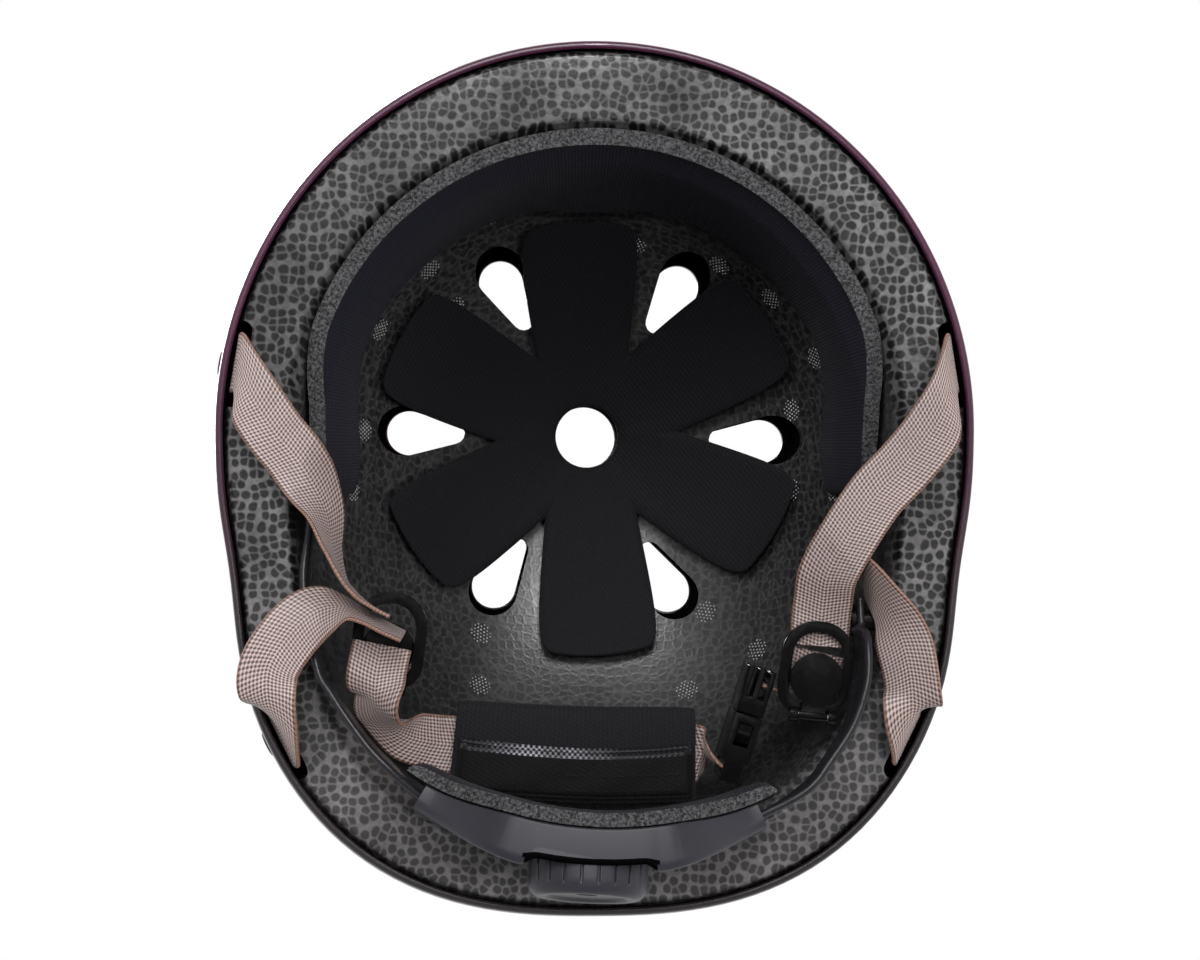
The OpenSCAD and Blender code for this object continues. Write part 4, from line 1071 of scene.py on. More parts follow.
RIGHT_REAR = [
    ([-92, 62.5, -11.5], [-0.78, -0.62, 0]),
    ([-92, 53, -13], [-0.69, -0.72, 0]),
    ([-87, 44.5, -12.8], [-0.64, -0.77, 0.05]),
    ([-81.5, 38.8, -12], [-0.5, -0.8, 0.3]),
    ([-76.5, 36.4, -11], [-0.28, -0.73, 0.62]),
    ([-71.2, 36.2, -10], [-0.2, -0.38, 0.9]),
    ([-66.2, 38.3, -9.4], [-0.1, -0.22, 0.96]),
    ([-60.5, 41.5, -9.2], [-0.05, -0.15, 0.98]),
    ([-54.8, 44.2, -9.2], [0, -0.1, 0.99]),
]

CHIN_LEAD = [
    ([-61, 47, -2.8], [-0.88, -0.46, 0]),
    ([-62.6, 56, -4.8], [-0.9, -0.42, 0]),
    ([-62.4, 63.8, -3.4], [-0.6, -0.1, 0.7]),
    ([-60.5, 69.5, 6.5], [-0.1, 0.45, 0.88]),
    ([-54.5, 74, 11], [0.15, 0.85, 0.5]),
    ([-48, 76, 12.6], [0.05, 0.95, 0.25]),
]

CHIN_RUN = [
    ([-41.2, 77, 13], [0, 1, 0.1]),
    ([-20, 79, 13], [0, 1, 0]),
    ([0, 80, 13], [0, 1, 0]),
    ([17.5, 80, 13], [0, 1, 0]),
    ([28.8, 79.8, 13.1], [0, 1, 0.05]),
]

CHIN_END = [
    ([31.4, 80, 13.8], [0, 0.75, 0.65], 0),
    ([33.4, 81.2, 15], [0, 0.2, 0.98], 0),
    ([35.6, 82.5, 15.5], [0, 0, 1]),
    ([38.9, 83.8, 15.5], [0, 0, 1]),
]

LEFT_CHIN = [
    ([63.8, 50, 7], [0.99, 0.1, 0]),
    ([62, 56.5, 9], [0.9, 0.1, 0.4]),
    ([60, 60.6, 12], [0.55, 0.1, 0.83]),
    ([56.6, 61.8, 15.2], [0.05, 0, 1]),
    ([53, 61.2, 15.5], [0, 0, 1]),
    ([48, 59.55, 15.5], [0, 0, 1]),
]


class HELMET_OT_webbing(bpy.types.Operator):
    """Make the four anchored straps and the two chin straps"""

    bl_idname = "helmet.webbing"
    bl_label = "Webbing"

    def execute(self, context):
        s = context.scene.helmet_webbing
        weave = woven_webbing()
        front_left, rear_left, front_right, rear_right = ANCHOR_ANGLES
        runs = {
            "left_front_strap": anchored(front_left) + stations(LEFT_FRONT),
            "left_rear_strap": anchored(rear_left) + stations(LEFT_REAR),
            "right_front_strap": anchored(front_right) + stations(RIGHT_FRONT),
            "right_rear_strap": anchored(rear_right) + stations(RIGHT_REAR),
            "right_chin_strap": stations(CHIN_LEAD + CHIN_RUN + CHIN_END),
        }
        for node, run in runs.items():
            strap = ribbon(node + "_web", run, s.width, s.thickness)
            finish_piece(strap, [weave], stands_for=[node])
        run = stations(LEFT_CHIN)
        strap = ribbon("left_chin_strap_web", run, s.width, s.thickness)
        strap.data.materials.append(weave)
        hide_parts("left_chin_strap")
        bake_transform(strap)
        return {"FINISHED"}


# Pads

def slab(name, back, face, uv):
    """A pad between two grids of points.

    Its face and back take the first material, its cut edge the second.
    """
    rows, cols = back.shape[:2]
    half = rows * cols
    back, face, uv = (grid.reshape(half, -1) for grid in (back, face, uv))
    edge = np.array([*range(cols - 1), *range(cols - 1, half - 1, cols),
                     *range(half - 1, half - cols, -1), *range(half - cols, 0, -cols)])
    shares = np.linspace(0, 1, 5)[1:-1]
    layers = [back[edge] * (1 - t) + face[edge] * t for t in shares]
    rims = [edge, *(np.arange(len(edge)) + 2 * half + k * len(edge) for k in range(len(layers))), edge + half]
    faces = grid_faces(rows, cols) + grid_faces(rows, cols, first=half)
    is_edge = np.zeros(len(faces) + (len(rims) - 1) * len(edge), int)
    is_edge[len(faces):] = 1
    for low, high in zip(rims, rims[1:]):
        faces += np.stack([low, np.roll(low, -1), np.roll(high, -1), high], axis=-1).tolist()
    uvs = np.vstack([uv, uv, *(uv[edge] for _ in layers)])
    pad = mesh_object(name, np.vstack([back, face, *layers]), faces, uv=uvs, crease=60)
    pad.data.polygons.foreach_set("material_index", is_edge)
    return pad


# The brow pad's low edge is level up to this many degrees from the forehead, then it rises
BROW_LEVEL = 60
BROW_LOW = 0.002
BROW_RISE = 0.017
BROW_PEAK = 0.005
BROW_PEAK_SPREAD = 13


class HELMET_OT_brow_pad(bpy.types.Operator):
    """Make the brow pad, knit over foam with its cut edge towards the rim"""

    bl_idname = "helmet.brow_pad"
    bl_label = "Brow pad"

    def execute(self, context):
        s = context.scene.helmet_pads
        reach = math.degrees(s.brow_reach)
        turn = np.linspace(-reach, reach, 241)[None, :]
        v = np.linspace(0, 1, 29)[:, None]
        ends = np.clip((np.abs(turn) - BROW_LEVEL) / (reach - BROW_LEVEL), 0, 1)
        low = BROW_LOW + BROW_RISE * (1 - np.cos(np.pi * ends)) / 2
        peak = BROW_PEAK * np.exp(-((turn / BROW_PEAK_SPREAD) ** 2))
        high = low + s.brow_height - (s.brow_height - s.brow_end_height) * (turn / reach) ** 2 + peak
        z = low + (high - low) * v
        inset = wall_inset(z - rim_z(mid_y())) + s.gap
        full = np.sqrt(np.clip(1 - np.abs(turn / reach) ** 12, 0, None))
        deep = s.brow_thickness * (0.3 + 0.7 * full) * (0.8 - 0.35 * v + 0.45 * np.sin(np.pi * v))
        angle = np.radians(turn - 90) + 0 * v
        back, face = (dome_at(room_dome(inset + more), angle, z) for more in (0, deep))
        around = np.radians(turn) * context.scene.helmet_shell.room_half_width + 0 * v
        pad = slab("brow_pad_knit", back, face, np.stack([around, z], axis=-1))
        cloth = knit("brow_knit", s.brow_colour, 0.0011, 0.0)
        finish_piece(pad, [cloth, stock(cut_foam)], stands_for=["brow_pad"])
        return {"FINISHED"}


CROWN_PAD_TURN = math.radians(-3)
PETAL_SPREAD = 0.15
PETAL_EDGE_R = 0.0016
HOLE_EDGE_R = 0.0012


def petal_edge(a):
    """Outline of the six petals: straight flanks that widen outward, and round tips."""
    s = settings("helmet_pads")
    turned = a - CROWN_PAD_TURN
    off = np.abs(np.mod(turned, math.pi / 3) - math.pi / 6)
    flank = s.petal_half_width / np.maximum(0.001, np.sin(off) - PETAL_SPREAD)
    tip = np.where(np.sin(turned) > 0.87, s.rear_petal_radius, s.petal_radius)
    return (flank ** -6 + tip ** -6) ** (-1 / 6)


class HELMET_OT_crown_pad(bpy.types.Operator):
    """Make the crown pad with its six petals"""

    bl_idname = "helmet.crown_pad"
    bl_label = "Crown pad"

    def execute(self, context):
        s = context.scene.helmet_pads
        dome = room_dome(context.scene.helmet_shell.bevel + s.gap)
        a = round_angles(540)
        outer = petal_edge(a)
        shares = np.linspace(0, 1, 16)
        thick = s.crown_thickness

        def ring(r, depth):
            x, y = r * np.cos(a), r * np.sin(a)
            return np.stack([x, mid_y() + y, crown_z(dome, x, y) - depth], axis=-1)

        def between(margin, t):
            inner = s.hole_radius + margin
            return inner + (outer - margin - inner) * t

        rings = [ring(between(0.0006, t), 0.02 * thick) for t in shares]
        for k in np.linspace(0, math.pi, 9)[1:-1]:
            depth = thick * (0.1 + 0.35 * (1 - math.cos(k)))
            rings.append(ring(outer - PETAL_EDGE_R * (1 - math.sin(k)), depth))
        for t in shares[::-1]:
            swell = 0.78 + 0.22 * math.sqrt(max(0.0, math.sin(math.pi * t)))
            rings.append(ring(between(HOLE_EDGE_R, t), thick * swell))
        for k in np.linspace(0, math.pi, 7)[1:-1]:
            r = s.hole_radius + HOLE_EDGE_R * (1 - math.sin(k))
            rings.append(ring(r, thick * (0.78 - 0.38 * (1 - math.cos(k)))))
        points = np.vstack(rings)
        pad = mesh_object("crown_pad_knit", points, grid_faces(len(rings), len(a), True, True),
                          uv=points[:, :2], crease=70)
        cloth = knit("crown_knit", s.crown_colour, 0.0012, math.radians(38))
        finish_piece(pad, [cloth], stands_for=["crown_pad"])
        return {"FINISHED"}


# The sleeve's lining, a flat tube round the strap
LINING_W = 0.0094
LINING_T = 0.0014

# The flap: where it starts and ends across the sleeve, its points across and the columns of its binding
FLAP_LOW = -0.0032
FLAP_HIGH = 0.0131
FLAP_W = FLAP_HIGH - FLAP_LOW
FLAP_LONG = 0.068
FLAP_COLS = 90
BINDING_COLS = 17
FLAP_T = 0.0026
HEM_AT = 0.0016
HEM_W = 0.0004
FOLD_H = 0.00035
# Where the stitched panel starts and ends along the flap, and where its stitches run across it
PANEL = (0.030, 0.064)
STITCH_ROWS = (0.52, 0.80)
STITCH_PITCH = 0.0021
STITCH_LONG = 0.0014
STITCH_W = 0.00025
STITCH_H = 0.0002


def sleeve_size(share):
    """Width and thickness of the sleeve, a share of the way along it."""
    full = np.sqrt(np.clip(np.sin(np.pi * share), 0, None))
    return 0.026 + 0.002 * full, 0.0055 + 0.0025 * full


class HELMET_OT_chin_pad(bpy.types.Operator):
    """Make the sleeve of the chin pad round the chin strap"""

    bl_idname = "helmet.chin_pad"
    bl_label = "Chin pad"

    def execute(self, context):
        steps = 24
        first = steps * len(CHIN_LEAD)
        pick = slice(first, first + steps * (len(CHIN_RUN) - 1) + 1)
        frames = ribbon_frames(stations(CHIN_LEAD + CHIN_RUN + CHIN_END), steps)
        centre, across, normal = (values[pick] for values in frames)
        along = distance_along(centre)
        a = round_angles(56)
        wide, thick = sleeve_size(np.linspace(0, 1, len(centre))[:, None])
        cx, cy = (np.sign(way) * np.abs(way) ** (2 / 3) for way in (np.cos(a), np.sin(a)))
        cx, cy = cx * wide / 2, cy * thick / 2
        sleeve = centre[:, None] + across[:, None] * cx[..., None] + normal[:, None] * cy[..., None]
        lx, ly = np.cos(a)[:, None] * LINING_W, np.sin(a)[:, None] * LINING_T
        rings = [*sleeve, *(centre[i] + across[i] * lx + normal[i] * ly for i in (-1, 0))]
        v = np.stack(np.broadcast_arrays(cx, along[:, None]), axis=-1)
        uv = np.vstack([v.reshape(-1, 2), v[-1], v[0]])
        pad = mesh_object("chin_pad_sleeve", np.vstack(rings), grid_faces(len(rings), len(a), True, True),
                          uv=uv, crease=60)
        base = context.scene.helmet_pads.crown_colour
        cloth = knit("sleeve_knit", base, 0.0013, math.pi / 2, 0.04)
        finish_piece(pad, [cloth], stands_for=["chin_pad"])
        cloth = knit("flap_knit", shaded(base, 0.28), 0.0013, math.pi / 2, 0.008)
        self.flap(*(values[2:-2] for values in (centre, normal, across, along)), cloth)
        return {"FINISHED"}

    def flap(self, centre, normal, across, along, cloth):
        """The folded flap on the camera's side of the sleeve, with a hem, soft folds and a stitched panel."""
        x = (along - along[0])[:, None]
        u = x / x[-1]
        w = np.linspace(0, 1, FLAP_COLS)[None, :]
        place = FLAP_LOW + FLAP_W * w + 0.0011 * np.sin(np.pi * u) * (1 - w)
        wide, thick = sleeve_size(u)
        under = thick / 2 * np.clip(1 - np.abs(np.minimum(place / wide * 2, 0.97)) ** 3, 0, None) ** (1 / 3)
        ends = np.sqrt(np.clip(1 - np.abs(2 * u - 1) ** 34, 0, None))
        sides = np.sqrt(np.clip(1 - np.abs(2 * w - 1) ** 6, 0, None))
        to_edge = np.minimum(np.minimum(w, 1 - w) * FLAP_W, np.minimum(u, 1 - u) * FLAP_LONG)
        hem = 0.38 * np.exp(-(((to_edge - HEM_AT) / HEM_W) ** 2))
        tall = FLAP_T * ends * sides * (1 - hem) + FOLD_H * np.sin(17 * u + 5 * w) * np.sin(np.pi * w) * ends
        start, end = PANEL
        in_panel = smooth_share(x, start, start + 0.0005) * (1 - smooth_share(x, end, end + 0.0005))
        for row in STITCH_ROWS:
            dash = (np.mod(x, STITCH_PITCH) < STITCH_LONG) * np.exp(-(((w - row) * FLAP_W / STITCH_W) ** 2))
            tall = tall + STITCH_H * dash * in_panel
        outward = normal[:, None]
        back = centre[:, None] + across[:, None] * place[..., None] - outward * (under - 0.0005)[..., None]
        face = back - outward * (tall + 0.0005)[..., None]
        flap = slab("chin_pad_flap", back, face, np.stack([place, x + 0 * w], axis=-1))
        half = (len(centre) - 1) * (FLAP_COLS - 1)
        index = np.zeros(len(flap.data.polygons), int)
        # The binding's columns take the satin tape with its painted highlight.
        index[half:2 * half] = np.arange(half) % (FLAP_COLS - 1) < BINDING_COLS
        flap.data.polygons.foreach_set("material_index", index)
        finish_piece(flap, [cloth, satin_binding()])


# Cross section of the cradle, in its own space: radii of its faces and heights of its edges
CRADLE_HALF_ANGLE = math.radians(27.5)
CRADLE_LOW = -0.0182
CRADLE_HIGH = 0.016
CRADLE_END_LOW = -0.003
CRADLE_END_HIGH = 0.011
CRADLE_FLAT_HALF = 0.020
CRADLE_FRONT_R = 0.0988
CRADLE_BACK_R = 0.1058
CRADLE_PAD_GAP = 0.0005
CHANNEL_FRONT_R = 0.1004
CHANNEL_BACK_R = 0.1036
CHANNEL_LIP = 0.0015
FLANGE = 0.0052
FLANGE_LIFT = 0.12
HOOD = 0.0027
HOOD_T = 0.0015
SHAFT_HOLE_R = 0.00256
KNOB_AT = 0.0042


def cradle_heights(x):
    """Heights of the cradle's low and high edges, at a place across."""
    end = settings("helmet_cradle").radius * math.sin(CRADLE_HALF_ANGLE)
    t = np.clip((np.abs(x) - CRADLE_FLAT_HALF) / (end - CRADLE_FLAT_HALF), 0, 1)
    ease = (1 - np.cos(np.pi * t)) / 2
    return (CRADLE_LOW + (CRADLE_END_LOW - CRADLE_LOW) * ease,
            CRADLE_HIGH + (CRADLE_END_HIGH - CRADLE_HIGH) * ease)


def rounded_loop(r0, r1, z0, z1, radii):
    """Outline of a box in radius and height with its own radius at each corner, from low back to low front.

    The wall between the two back corners has more points, closer together low down.
    """
    corners = ((r1, z0, -1), (r1, z1, 0), (r0, z1, 1), (r0, z0, 2))
    outline = []
    for (r, z, k), radius in zip(corners, radii):
        cr = r - radius if r == r1 else r + radius
        cz = z + radius if z == z0 else z - radius
        for turn in np.linspace(0, math.pi / 2, 8) + k * math.pi / 2:
            outline.append((cr + radius * math.cos(turn), cz + radius * math.sin(turn)))
        if k == -1:
            low, high = z0 + radius + 0.00005, z1 - radii[1] - 0.00005
            outline += [(r1, low + (high - low) * t * t) for t in np.linspace(0, 1, 14)]
    return np.array(outline)


# Places across, from the middle: where the recess over the knob starts to close, where it is closed, and
# where the flange beside it runs out
RECESS_HALF = 0.0135
RECESS_END = 0.0180
FLANGE_END = 0.0478
CRADLE_CORNERS = (0.0016, 0.0006, 0.0008)
CRADLE_EDGE_R = 0.003
CHANNEL_CORNERS = (0.0006,) * 4
ARCH_HALF = 0.0182


class HELMET_OT_cradle(bpy.types.Operator):
    """Make the cradle's hollow channel, with a flange along its low edge that leaves room for the knob"""

    bl_idname = "helmet.cradle"
    bl_label = "Cradle"

    def execute(self, context):
        s = context.scene.helmet_cradle
        outer, inner = [], []
        for a in np.linspace(CRADLE_HALF_ANGLE, -CRADLE_HALF_ANGLE, 141):
            x = abs(s.radius * math.sin(a))
            low, high = cradle_heights(x)
            side = smooth_share(x, RECESS_HALF, RECESS_END)
            edge = HOOD_T + (CRADLE_EDGE_R - HOOD_T) * side
            loop = rounded_loop(CRADLE_FRONT_R, CRADLE_BACK_R, low, high, (edge, *CRADLE_CORNERS))
            backward = smooth_share(loop[:, 0], CRADLE_FRONT_R + 0.0015, CRADLE_BACK_R - 0.003)
            flange = FLANGE * side * (1 - smooth_share(x, RECESS_END, FLANGE_END))
            down = 1 - smooth_share(loop[:, 1], low + 0.0015, low + 0.0115)
            hood = HOOD * (1 - side) * (loop[:, 1] <= low + edge + 0.00001)
            more = (flange * down + hood) * backward
            outer.append(self.ring(loop + np.stack([more, FLANGE_LIFT * more * side], axis=-1), a))
            hole = rounded_loop(CHANNEL_FRONT_R, CHANNEL_BACK_R, low + CHANNEL_LIP, high - CHANNEL_LIP,
                                CHANNEL_CORNERS)
            inner.append(self.ring(hole, a))
        rings = outer + inner[::-1]
        body = mesh_object("cradle_body", np.vstack(rings), grid_faces(len(rings), len(rings[0]), True, True),
                           matrix=DIAL, crease=50)
        along_shaft = DIAL @ Matrix.Rotation(-math.pi / 2, 4, "X")
        cut(body, [prism(circle(SHAFT_HOLE_R, 48), -0.006, 0.006, along_shaft)])
        self.mark_arch(body.data)
        finish_piece(body, [stock(slate_plastic), painted_gap_shade()], body="cradle",
                     stands_for=["cradle_back", "cradle_cover"])
        return {"FINISHED"}

    def mark_arch(self, mesh):
        """Gives the edge of the recess round the knob the second material, a matt black painted shade of the gap
        over the knob.
        """
        back = DIAL.inverted()
        radius = settings("helmet_cradle").radius
        for face in mesh.polygons:
            x, y, z = back @ face.center
            far = math.hypot(x, y + radius) > CRADLE_BACK_R + HOOD - 0.0022
            if abs(x) < ARCH_HALF and far and z < CRADLE_LOW + 0.005:
                face.material_index = 1

    def ring(self, loop, a):
        r, z = loop[:, 0], loop[:, 1]
        return np.stack([r * math.sin(a), r * math.cos(a) - settings("helmet_cradle").radius, z], axis=-1)


# Outline of the knob in millimetres, each [radius, out]: from its bore round its back to its side, and from
# its side round its dished face
KNOB_BACK = ((2.53, 6), (2.53, 0), (5, 0), (5, 4.5), (13.6, 4.5), (13.6, 0), (16.1, 0))
KNOB_FACE = ((12, 9.75), (11.2, 9.5), (10.6, 9), (9.8, 8.75), (3.2, 8.6), (3.2, 6.8), (1.3, 6.8), (1.3, 6))
KNOB_R = 0.0166
KNOB_SIDE = 0.0054
KNOB_SHOULDER = (0.0034, 0.0044)
GROOVE_W = 0.0009
GROOVE_D = 0.0008
GROOVE_END = 0.0070
# Points across a groove, in halves of its width
GROOVE_POINTS = np.array([-1.5, -1.15, -1, -0.8, -0.5, -0.2, 0.2, 0.5, 0.8, 1, 1.15, 1.5])
KNOB_EDGE_R = 0.0005


class HELMET_OT_knob(bpy.types.Operator):
    """Make the dial's grooved knob with its round shoulder and dished face"""

    bl_idname = "helmet.knob"
    bl_label = "Knob"

    def execute(self, context):
        grooves = context.scene.helmet_cradle.knob_grooves
        pitch = 2 * math.pi / grooves
        half = GROOVE_W / 2 / KNOB_R
        offsets = GROOVE_POINTS * half
        plain = np.linspace(offsets[-1], pitch + offsets[0], 6)[1:-1]
        a = np.concatenate([np.concatenate([offsets, plain]) + pitch * k for k in range(grooves)])
        across = np.abs(np.mod(a + pitch / 2, pitch) - pitch / 2) / half
        groove = 1 - smooth_share(across, 0.45, 1.1)
        side = [(KNOB_R - KNOB_EDGE_R * (1 - math.sin(k)), KNOB_EDGE_R * (1 - math.cos(k)))
                for k in np.linspace(0.3, math.pi / 2, 4)]
        side += [(KNOB_R, y) for y in np.linspace(0.0007, KNOB_SIDE, 14)]
        wide, tall = KNOB_SHOULDER
        side += [(KNOB_R - wide * (1 - math.cos(k)), KNOB_SIDE + tall * math.sin(k))
                 for k in np.linspace(0, math.pi / 2, 14)[1:]]
        outline = [(r * MM, y * MM) for r, y in KNOB_BACK] + side + [(r * MM, y * MM) for r, y in KNOB_FACE]
        rings = []
        for r, y in outline:
            on_side = r > 0.0137 and y < 0.009
            fade = 1 - smooth_share(y, GROOVE_END - 0.0012, GROOVE_END + 0.0004)
            here = r - GROOVE_D * fade * on_side * groove
            rings.append(np.stack([here * np.cos(a), KNOB_AT + y + 0 * a, here * np.sin(a)], axis=-1))
        knob = mesh_object("dial_knob_grip", np.vstack(rings), grid_faces(len(rings), len(a), True, True),
                           matrix=DIAL, crease=40)
        finish_piece(knob, [stock(slate_plastic)], body="dial", stands_for=["dial_knob"])
        return {"FINISHED"}


class HELMET_OT_cradle_pad(bpy.types.Operator):
    """Make the cradle's pad, knit over grey foam"""

    bl_idname = "helmet.cradle_pad"
    bl_label = "Cradle pad"

    def execute(self, context):
        s = context.scene.helmet_cradle
        reach = CRADLE_HALF_ANGLE + math.radians(4)
        back_r = CRADLE_FRONT_R - CRADLE_PAD_GAP
        a = np.linspace(reach, -reach, 121)[None, :]
        v = np.linspace(0, 1, 21)[:, None]
        end = np.abs(a / reach) ** 3
        low = cradle_heights(back_r * np.sin(a))[0] + 0.0010
        high = 0.010 - 0.0015 * end
        z = low + (high - low) * v
        full = 0.75 * np.sqrt(np.clip(1 - np.abs(a / reach) ** 16, 0, None)) + 0.25
        deep = s.pad_thickness * (0.62 + 0.38 * np.sin(np.pi * v)) * full

        def place(r):
            return moved(np.stack([r * np.sin(a), r * np.cos(a) - s.radius, z], axis=-1), DIAL_IN_HELMET)

        uv = np.stack([a * back_r + 0 * v, z], axis=-1)
        pad = slab("cradle_pad_knit", place(back_r + 0 * z), place(back_r - deep), uv)
        cloth = knit("cradle_knit", context.scene.helmet_pads.brow_colour, 0.0011, 0.0)
        finish_piece(pad, [cloth, stock(cut_foam)], body="cradle", stands_for=["cradle_pad"])
        return {"FINISHED"}


# Belts

def in_channel(a, z):
    """A station in the cradle's channel, at an angle from the dial and a height."""
    r = settings("helmet_cradle").radius
    place = moved(np.array([r * math.sin(a), r * math.cos(a) - r, z]), DIAL_IN_HELMET)
    return place, np.array(DIAL_IN_HELMET.col[2][:3])


BELT_W = 0.010
BELT_T = 0.0022
LEFT_CHANNEL = ((18.4, 4.85), (20, 4.6), (24, 4.1), (27.5, 4))
LEFT_BELT = [
    ([57.5, 86.5, -17], [0, 0, 1]),
    ([64.4, 78.8, -14.5], [0, 0, 1]),
    ([71, 68.9, -11.5], [-0.1, 0, 1]),
    ([75.2, 57.4, -8], [-0.12, 0, 1]),
    ([76.4, 48, -3.5], [0, 0, 1]),
    ([76.2, 46, 4.5], [0, 0, 1]),
    ([76.2, 41, 8], [0, 0, 1]),
    ([76.2, 36, 10], [0, 0, 1]),
]
RIGHT_CHANNEL = ((-17.4, -3.6), (-20, -0.6), (-24, 3.3), (-27.5, 4))
RIGHT_BELT = [
    ([-57.5, 80.5, -18], [0, 0, 1]),
    ([-65, 73, -15], [0, 0, 1]),
    ([-74, 61, -10], [0, 0, 1]),
    ([-79, 52, -6], [0, 0, 1]),
    ([-83.2, 30, 2], [0, 0, 1]),
    ([-82.2, 15, 8], [0, 0, 1]),
    ([-82, 6, 11], [0, 0, 1]),
    ([-82, 0, 12], [0, 0, 1]),
]


class HELMET_OT_belts(bpy.types.Operator):
    """Make the two belts that run from the cradle to the temples"""

    bl_idname = "helmet.belts"
    bl_label = "Belts"

    def execute(self, context):
        runs = (("left_belt", LEFT_CHANNEL, LEFT_BELT, -6), ("right_belt", RIGHT_CHANNEL, RIGHT_BELT, -3))
        for node, channel, free, still in runs:
            inside = [in_channel(math.radians(a), z * MM) for a, z in channel]
            run = inside + stations(free)
            belt = ribbon(node + "_strip", run, BELT_W, BELT_T)
            belt.data.materials.append(stock(shaded_belt_slate))
            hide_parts(node)
            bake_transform(belt)
        return {"FINISHED"}


def softened(name, width):
    """A copy of a node of the frame with its sharp edges rounded, in world space."""
    node = frame["nodes"][name]
    mesh = node.data.copy()
    mesh.transform(node.matrix_world)
    mesh.materials.clear()
    work = bmesh.new()
    work.from_mesh(mesh)
    bmesh.ops.remove_doubles(work, verts=work.verts, dist=0.000002)
    bmesh.ops.dissolve_limit(work, angle_limit=math.radians(0.05), verts=work.verts, edges=work.edges)
    work.to_mesh(mesh)
    work.free()
    piece = bpy.data.objects.new(name + "_moulding", mesh)
    bpy.context.scene.collection.objects.link(piece)
    bevel = piece.modifiers.new("Round edges", "BEVEL")
    bevel.width = width
    bevel.segments = 3
    bevel.limit_method = "ANGLE"
    bevel.angle_limit = math.radians(32)
    bevel.use_clamp_overlap = True
    apply_modifiers(piece, 50)
    return piece


class HELMET_OT_fittings(bpy.types.Operator):
    """Make the dividers, their levers and the buckle as mouldings with rounded edges"""

    bl_idname = "helmet.fittings"
    bl_label = "Dividers and buckle"

    def execute(self, context):
        bodies = {"left_divider": "helmet", "right_divider": "helmet", "left_lever": "left_lock",
                  "right_lever": "right_lock", "buckle_socket": "helmet", "buckle_plug": "plug"}
        for name, body in bodies.items():
            piece = softened(name, context.scene.helmet_cradle.edge_radius)
            finish_piece(piece, [stock(gloss_black)], body=body, stands_for=[name])
        return {"FINISHED"}


class HELMET_OT_hard_parts(bpy.types.Operator):
    """Give the moulded and turned parts of the frame their finishes"""

    bl_idname = "helmet.hard_parts"
    bl_label = "Hard parts"

    def execute(self, context):
        finishes = {
            slate_plastic: ("left_rack", "right_rack"),
            gloss_black: ("buckle_prongs", "dial_gear", "click_ring", "temple_anchors"),
            turned_steel: ("strap_washers", "left_lever_pin", "right_lever_pin", "cradle_screws",
                           "dial_screw"),
            hook_tape: ("hook_dots",),
        }
        for recipe, names in finishes.items():
            for name in names:
                dress(name, stock(recipe))
        return {"FINISHED"}


# Stage

# Size of the photograph in pixels
PHOTO_W = 1200
PHOTO_H = 960

# Each lamp's place, aim, size and power
LAMPS = {
    "key": ((-0.75, -0.65, -1.15), (0, 0, 0.05), 0.7, 13),
    "fill": ((0.75, 0.35, -1.1), (0, 0, 0.05), 0.8, 7),
    "front": ((0.05, -0.35, -1.25), (0, 0.05, 0.05), 0.35, 5),
    "side": ((1.1, 0.05, -0.45), (-0.08, 0, 0), 0.5, 6),
    "left_glint": ((0.30, 0.02, -1.15), (0.08, 0.03, 0), 0.22, 4),
    "right_glint": ((-0.22, 0.02, -1.15), (-0.08, 0.03, 0), 0.22, 3),
    "crown_glint": ((0, -0.59, -0.93), (0, 0.04, 0.1), 0.42, 20),
    "top": ((-0.5, -0.6, 1.3), (0, 0, 0.05), 0.8, 12),
    "sky": ((0, 0, 3.2), (0, 0, 0), 5.0, 60),
}
FLOOR_REACH = 2.5
# The floor fades to white between these distances from the origin
FLOOR_FADE = (0.30, 1.0)
WORLD_LEVEL = 0.20


def area_lamp(name):
    """A round lamp; the crown's only gives a reflection and the sky's only gives light."""
    place, aim, size, power = LAMPS[name]
    data = bpy.data.lights.new(name, "AREA")
    data.shape = "DISK"
    data.size = size
    data.energy = power * settings("helmet_stage").lamp_level
    lamp = bpy.data.objects.new(name, data)
    lamp.location = place
    lamp.rotation_mode = "QUATERNION"
    lamp.rotation_quaternion = (Vector(aim) - Vector(place)).to_track_quat("-Z", "Y")
    lamp.visible_glossy = name != "sky"
    lamp.visible_diffuse = name != "crown_glint"
    bpy.context.scene.collection.objects.link(lamp)


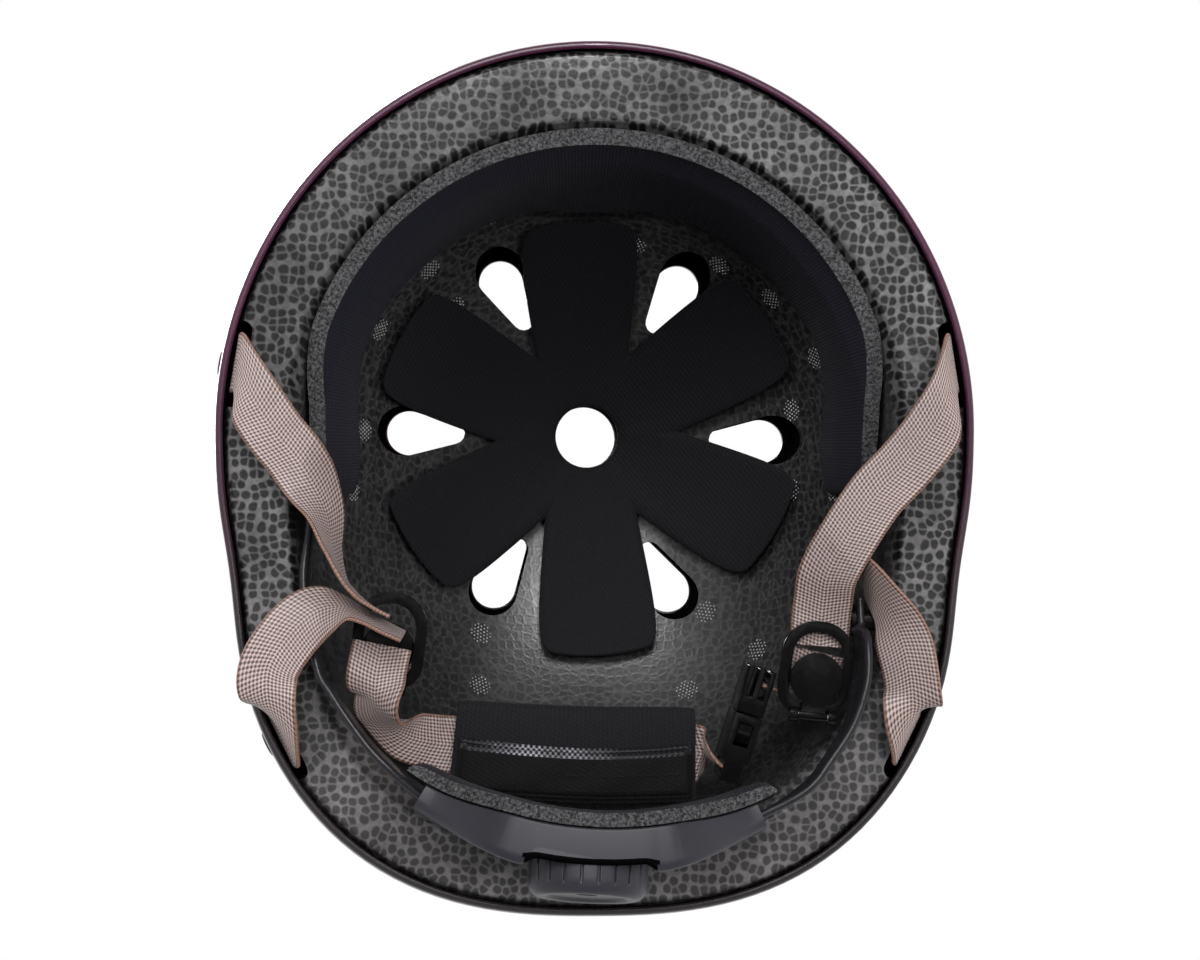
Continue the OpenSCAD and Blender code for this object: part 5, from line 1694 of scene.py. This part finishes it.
class HELMET_OT_stage(bpy.types.Operator):
    """Set up the camera, the pale floor, the world and the lamps"""

    bl_idname = "helmet.stage"
    bl_label = "Stage"

    def execute(self, context):
        s = context.scene.helmet_stage
        data = bpy.data.cameras.new("camera")
        data.sensor_width = 36.0
        data.lens = data.sensor_width * s.distance / (PHOTO_W * VIEW_SCALE)
        data.shift_x = (PHOTO_W / 2 - VIEW_X) / PHOTO_W
        data.shift_y = (VIEW_Y - PHOTO_H / 2) / PHOTO_W
        camera = bpy.data.objects.new("camera", data)
        eye = Vector((s.side, 0.0, -s.distance))
        back = eye.normalized()
        right = Vector((0, -1, 0)).cross(back).normalized()
        up = back.cross(right)
        turn = Matrix((right, up, back)).transposed().to_4x4()
        camera.matrix_world = STAND @ Matrix.Translation(eye) @ turn
        context.scene.collection.objects.link(camera)
        context.scene.camera = camera
        self.floor()
        self.world(context)
        for name in LAMPS:
            area_lamp(name)
        context.scene.view_settings.view_transform = "Standard"
        return {"FINISHED"}

    def floor(self):
        """A pale floor that is clear from below and, for the camera, white farther away."""
        corners = [(x * FLOOR_REACH, y * FLOOR_REACH, 0) for x, y in ((-1, -1), (1, -1), (1, 1), (-1, 1))]
        floor = mesh_object("floor", corners, [(0, 1, 2, 3)], matrix=Matrix())
        r = Recipe("pale_floor")
        r.set(Base_Color=r.mix(r.noise(3.0), grey(0.86), grey(0.90)), Roughness=0.7)
        seen_from = r.node("NewGeometry").outputs
        away = r.node("VectorMath", {0: seen_from["Position"]}, operation="LENGTH").outputs["Value"]
        far = r.times(r.soft(away, *FLOOR_FADE), r.node("LightPath").outputs["Is Camera Ray"])
        white = r.node("Emission", {"Color": rgba(grey(1.0)), "Strength": 1.0})
        clear = r.node("BsdfTransparent")
        both = r.surface
        for factor, other in ((far, white), (seen_from["Backfacing"], clear)):
            both = r.node("MixShader", {0: factor, 1: both.outputs[0], 2: other.outputs[0]})
        r.give(r.tree.nodes["Material Output"].inputs["Surface"], both.outputs[0])
        floor.data.materials.append(r.material)
        floor.visible_shadow = False

    def world(self, context):
        """White to the camera and in reflections, and dimmer as a light."""
        r = Recipe("white_world", world=True)
        context.scene.world = r.material
        rays = r.node("LightPath").outputs
        seen = r.maths("MAXIMUM", rays["Is Camera Ray"], rays["Is Transmission Ray"])
        seen = r.maths("MAXIMUM", seen, rays["Is Glossy Ray"])
        r.set(Color=rgba(grey(1.0)), Strength=r.spread(seen, 0, 1, WORLD_LEVEL, 1.0))


class HELMET_PT_pieces(bpy.types.Panel):
    """Lists the helmet's pieces and their sizes"""

    bl_label = "Helmet"
    bl_idname = "HELMET_PT_pieces"
    bl_space_type = "VIEW_3D"
    bl_region_type = "UI"
    bl_category = "Helmet"

    def draw(self, context):
        for operator in OPERATORS:
            self.layout.operator(operator.bl_idname)
        for group in HELMET_GROUPS:
            box = self.layout.box()
            for name in HELMET_GROUPS[group].__annotations__:
                box.prop(getattr(context.scene, group), name)


OPERATORS = (
    HELMET_OT_stage,
    HELMET_OT_shell,
    HELMET_OT_liner,
    HELMET_OT_bumps,
    HELMET_OT_webbing,
    HELMET_OT_brow_pad,
    HELMET_OT_crown_pad,
    HELMET_OT_chin_pad,
    HELMET_OT_cradle,
    HELMET_OT_knob,
    HELMET_OT_cradle_pad,
    HELMET_OT_belts,
    HELMET_OT_fittings,
    HELMET_OT_hard_parts,
)


def register():
    for group in HELMET_GROUPS.values():
        bpy.utils.register_class(group)
    for operator in OPERATORS:
        bpy.utils.register_class(operator)
    bpy.utils.register_class(HELMET_PT_pieces)
    for name, group in HELMET_GROUPS.items():
        setattr(bpy.types.Scene, name, PointerProperty(type=group))


def unregister():
    for name in HELMET_GROUPS:
        delattr(bpy.types.Scene, name)
    bpy.utils.unregister_class(HELMET_PT_pieces)
    for operator in reversed(OPERATORS):
        bpy.utils.unregister_class(operator)
    for group in reversed(HELMET_GROUPS.values()):
        bpy.utils.unregister_class(group)


def main():
    register()
    for operator in OPERATORS:
        group, name = operator.bl_idname.split(".")
        getattr(getattr(bpy.ops, group), name)()


if __name__ == "__main__":
    main()
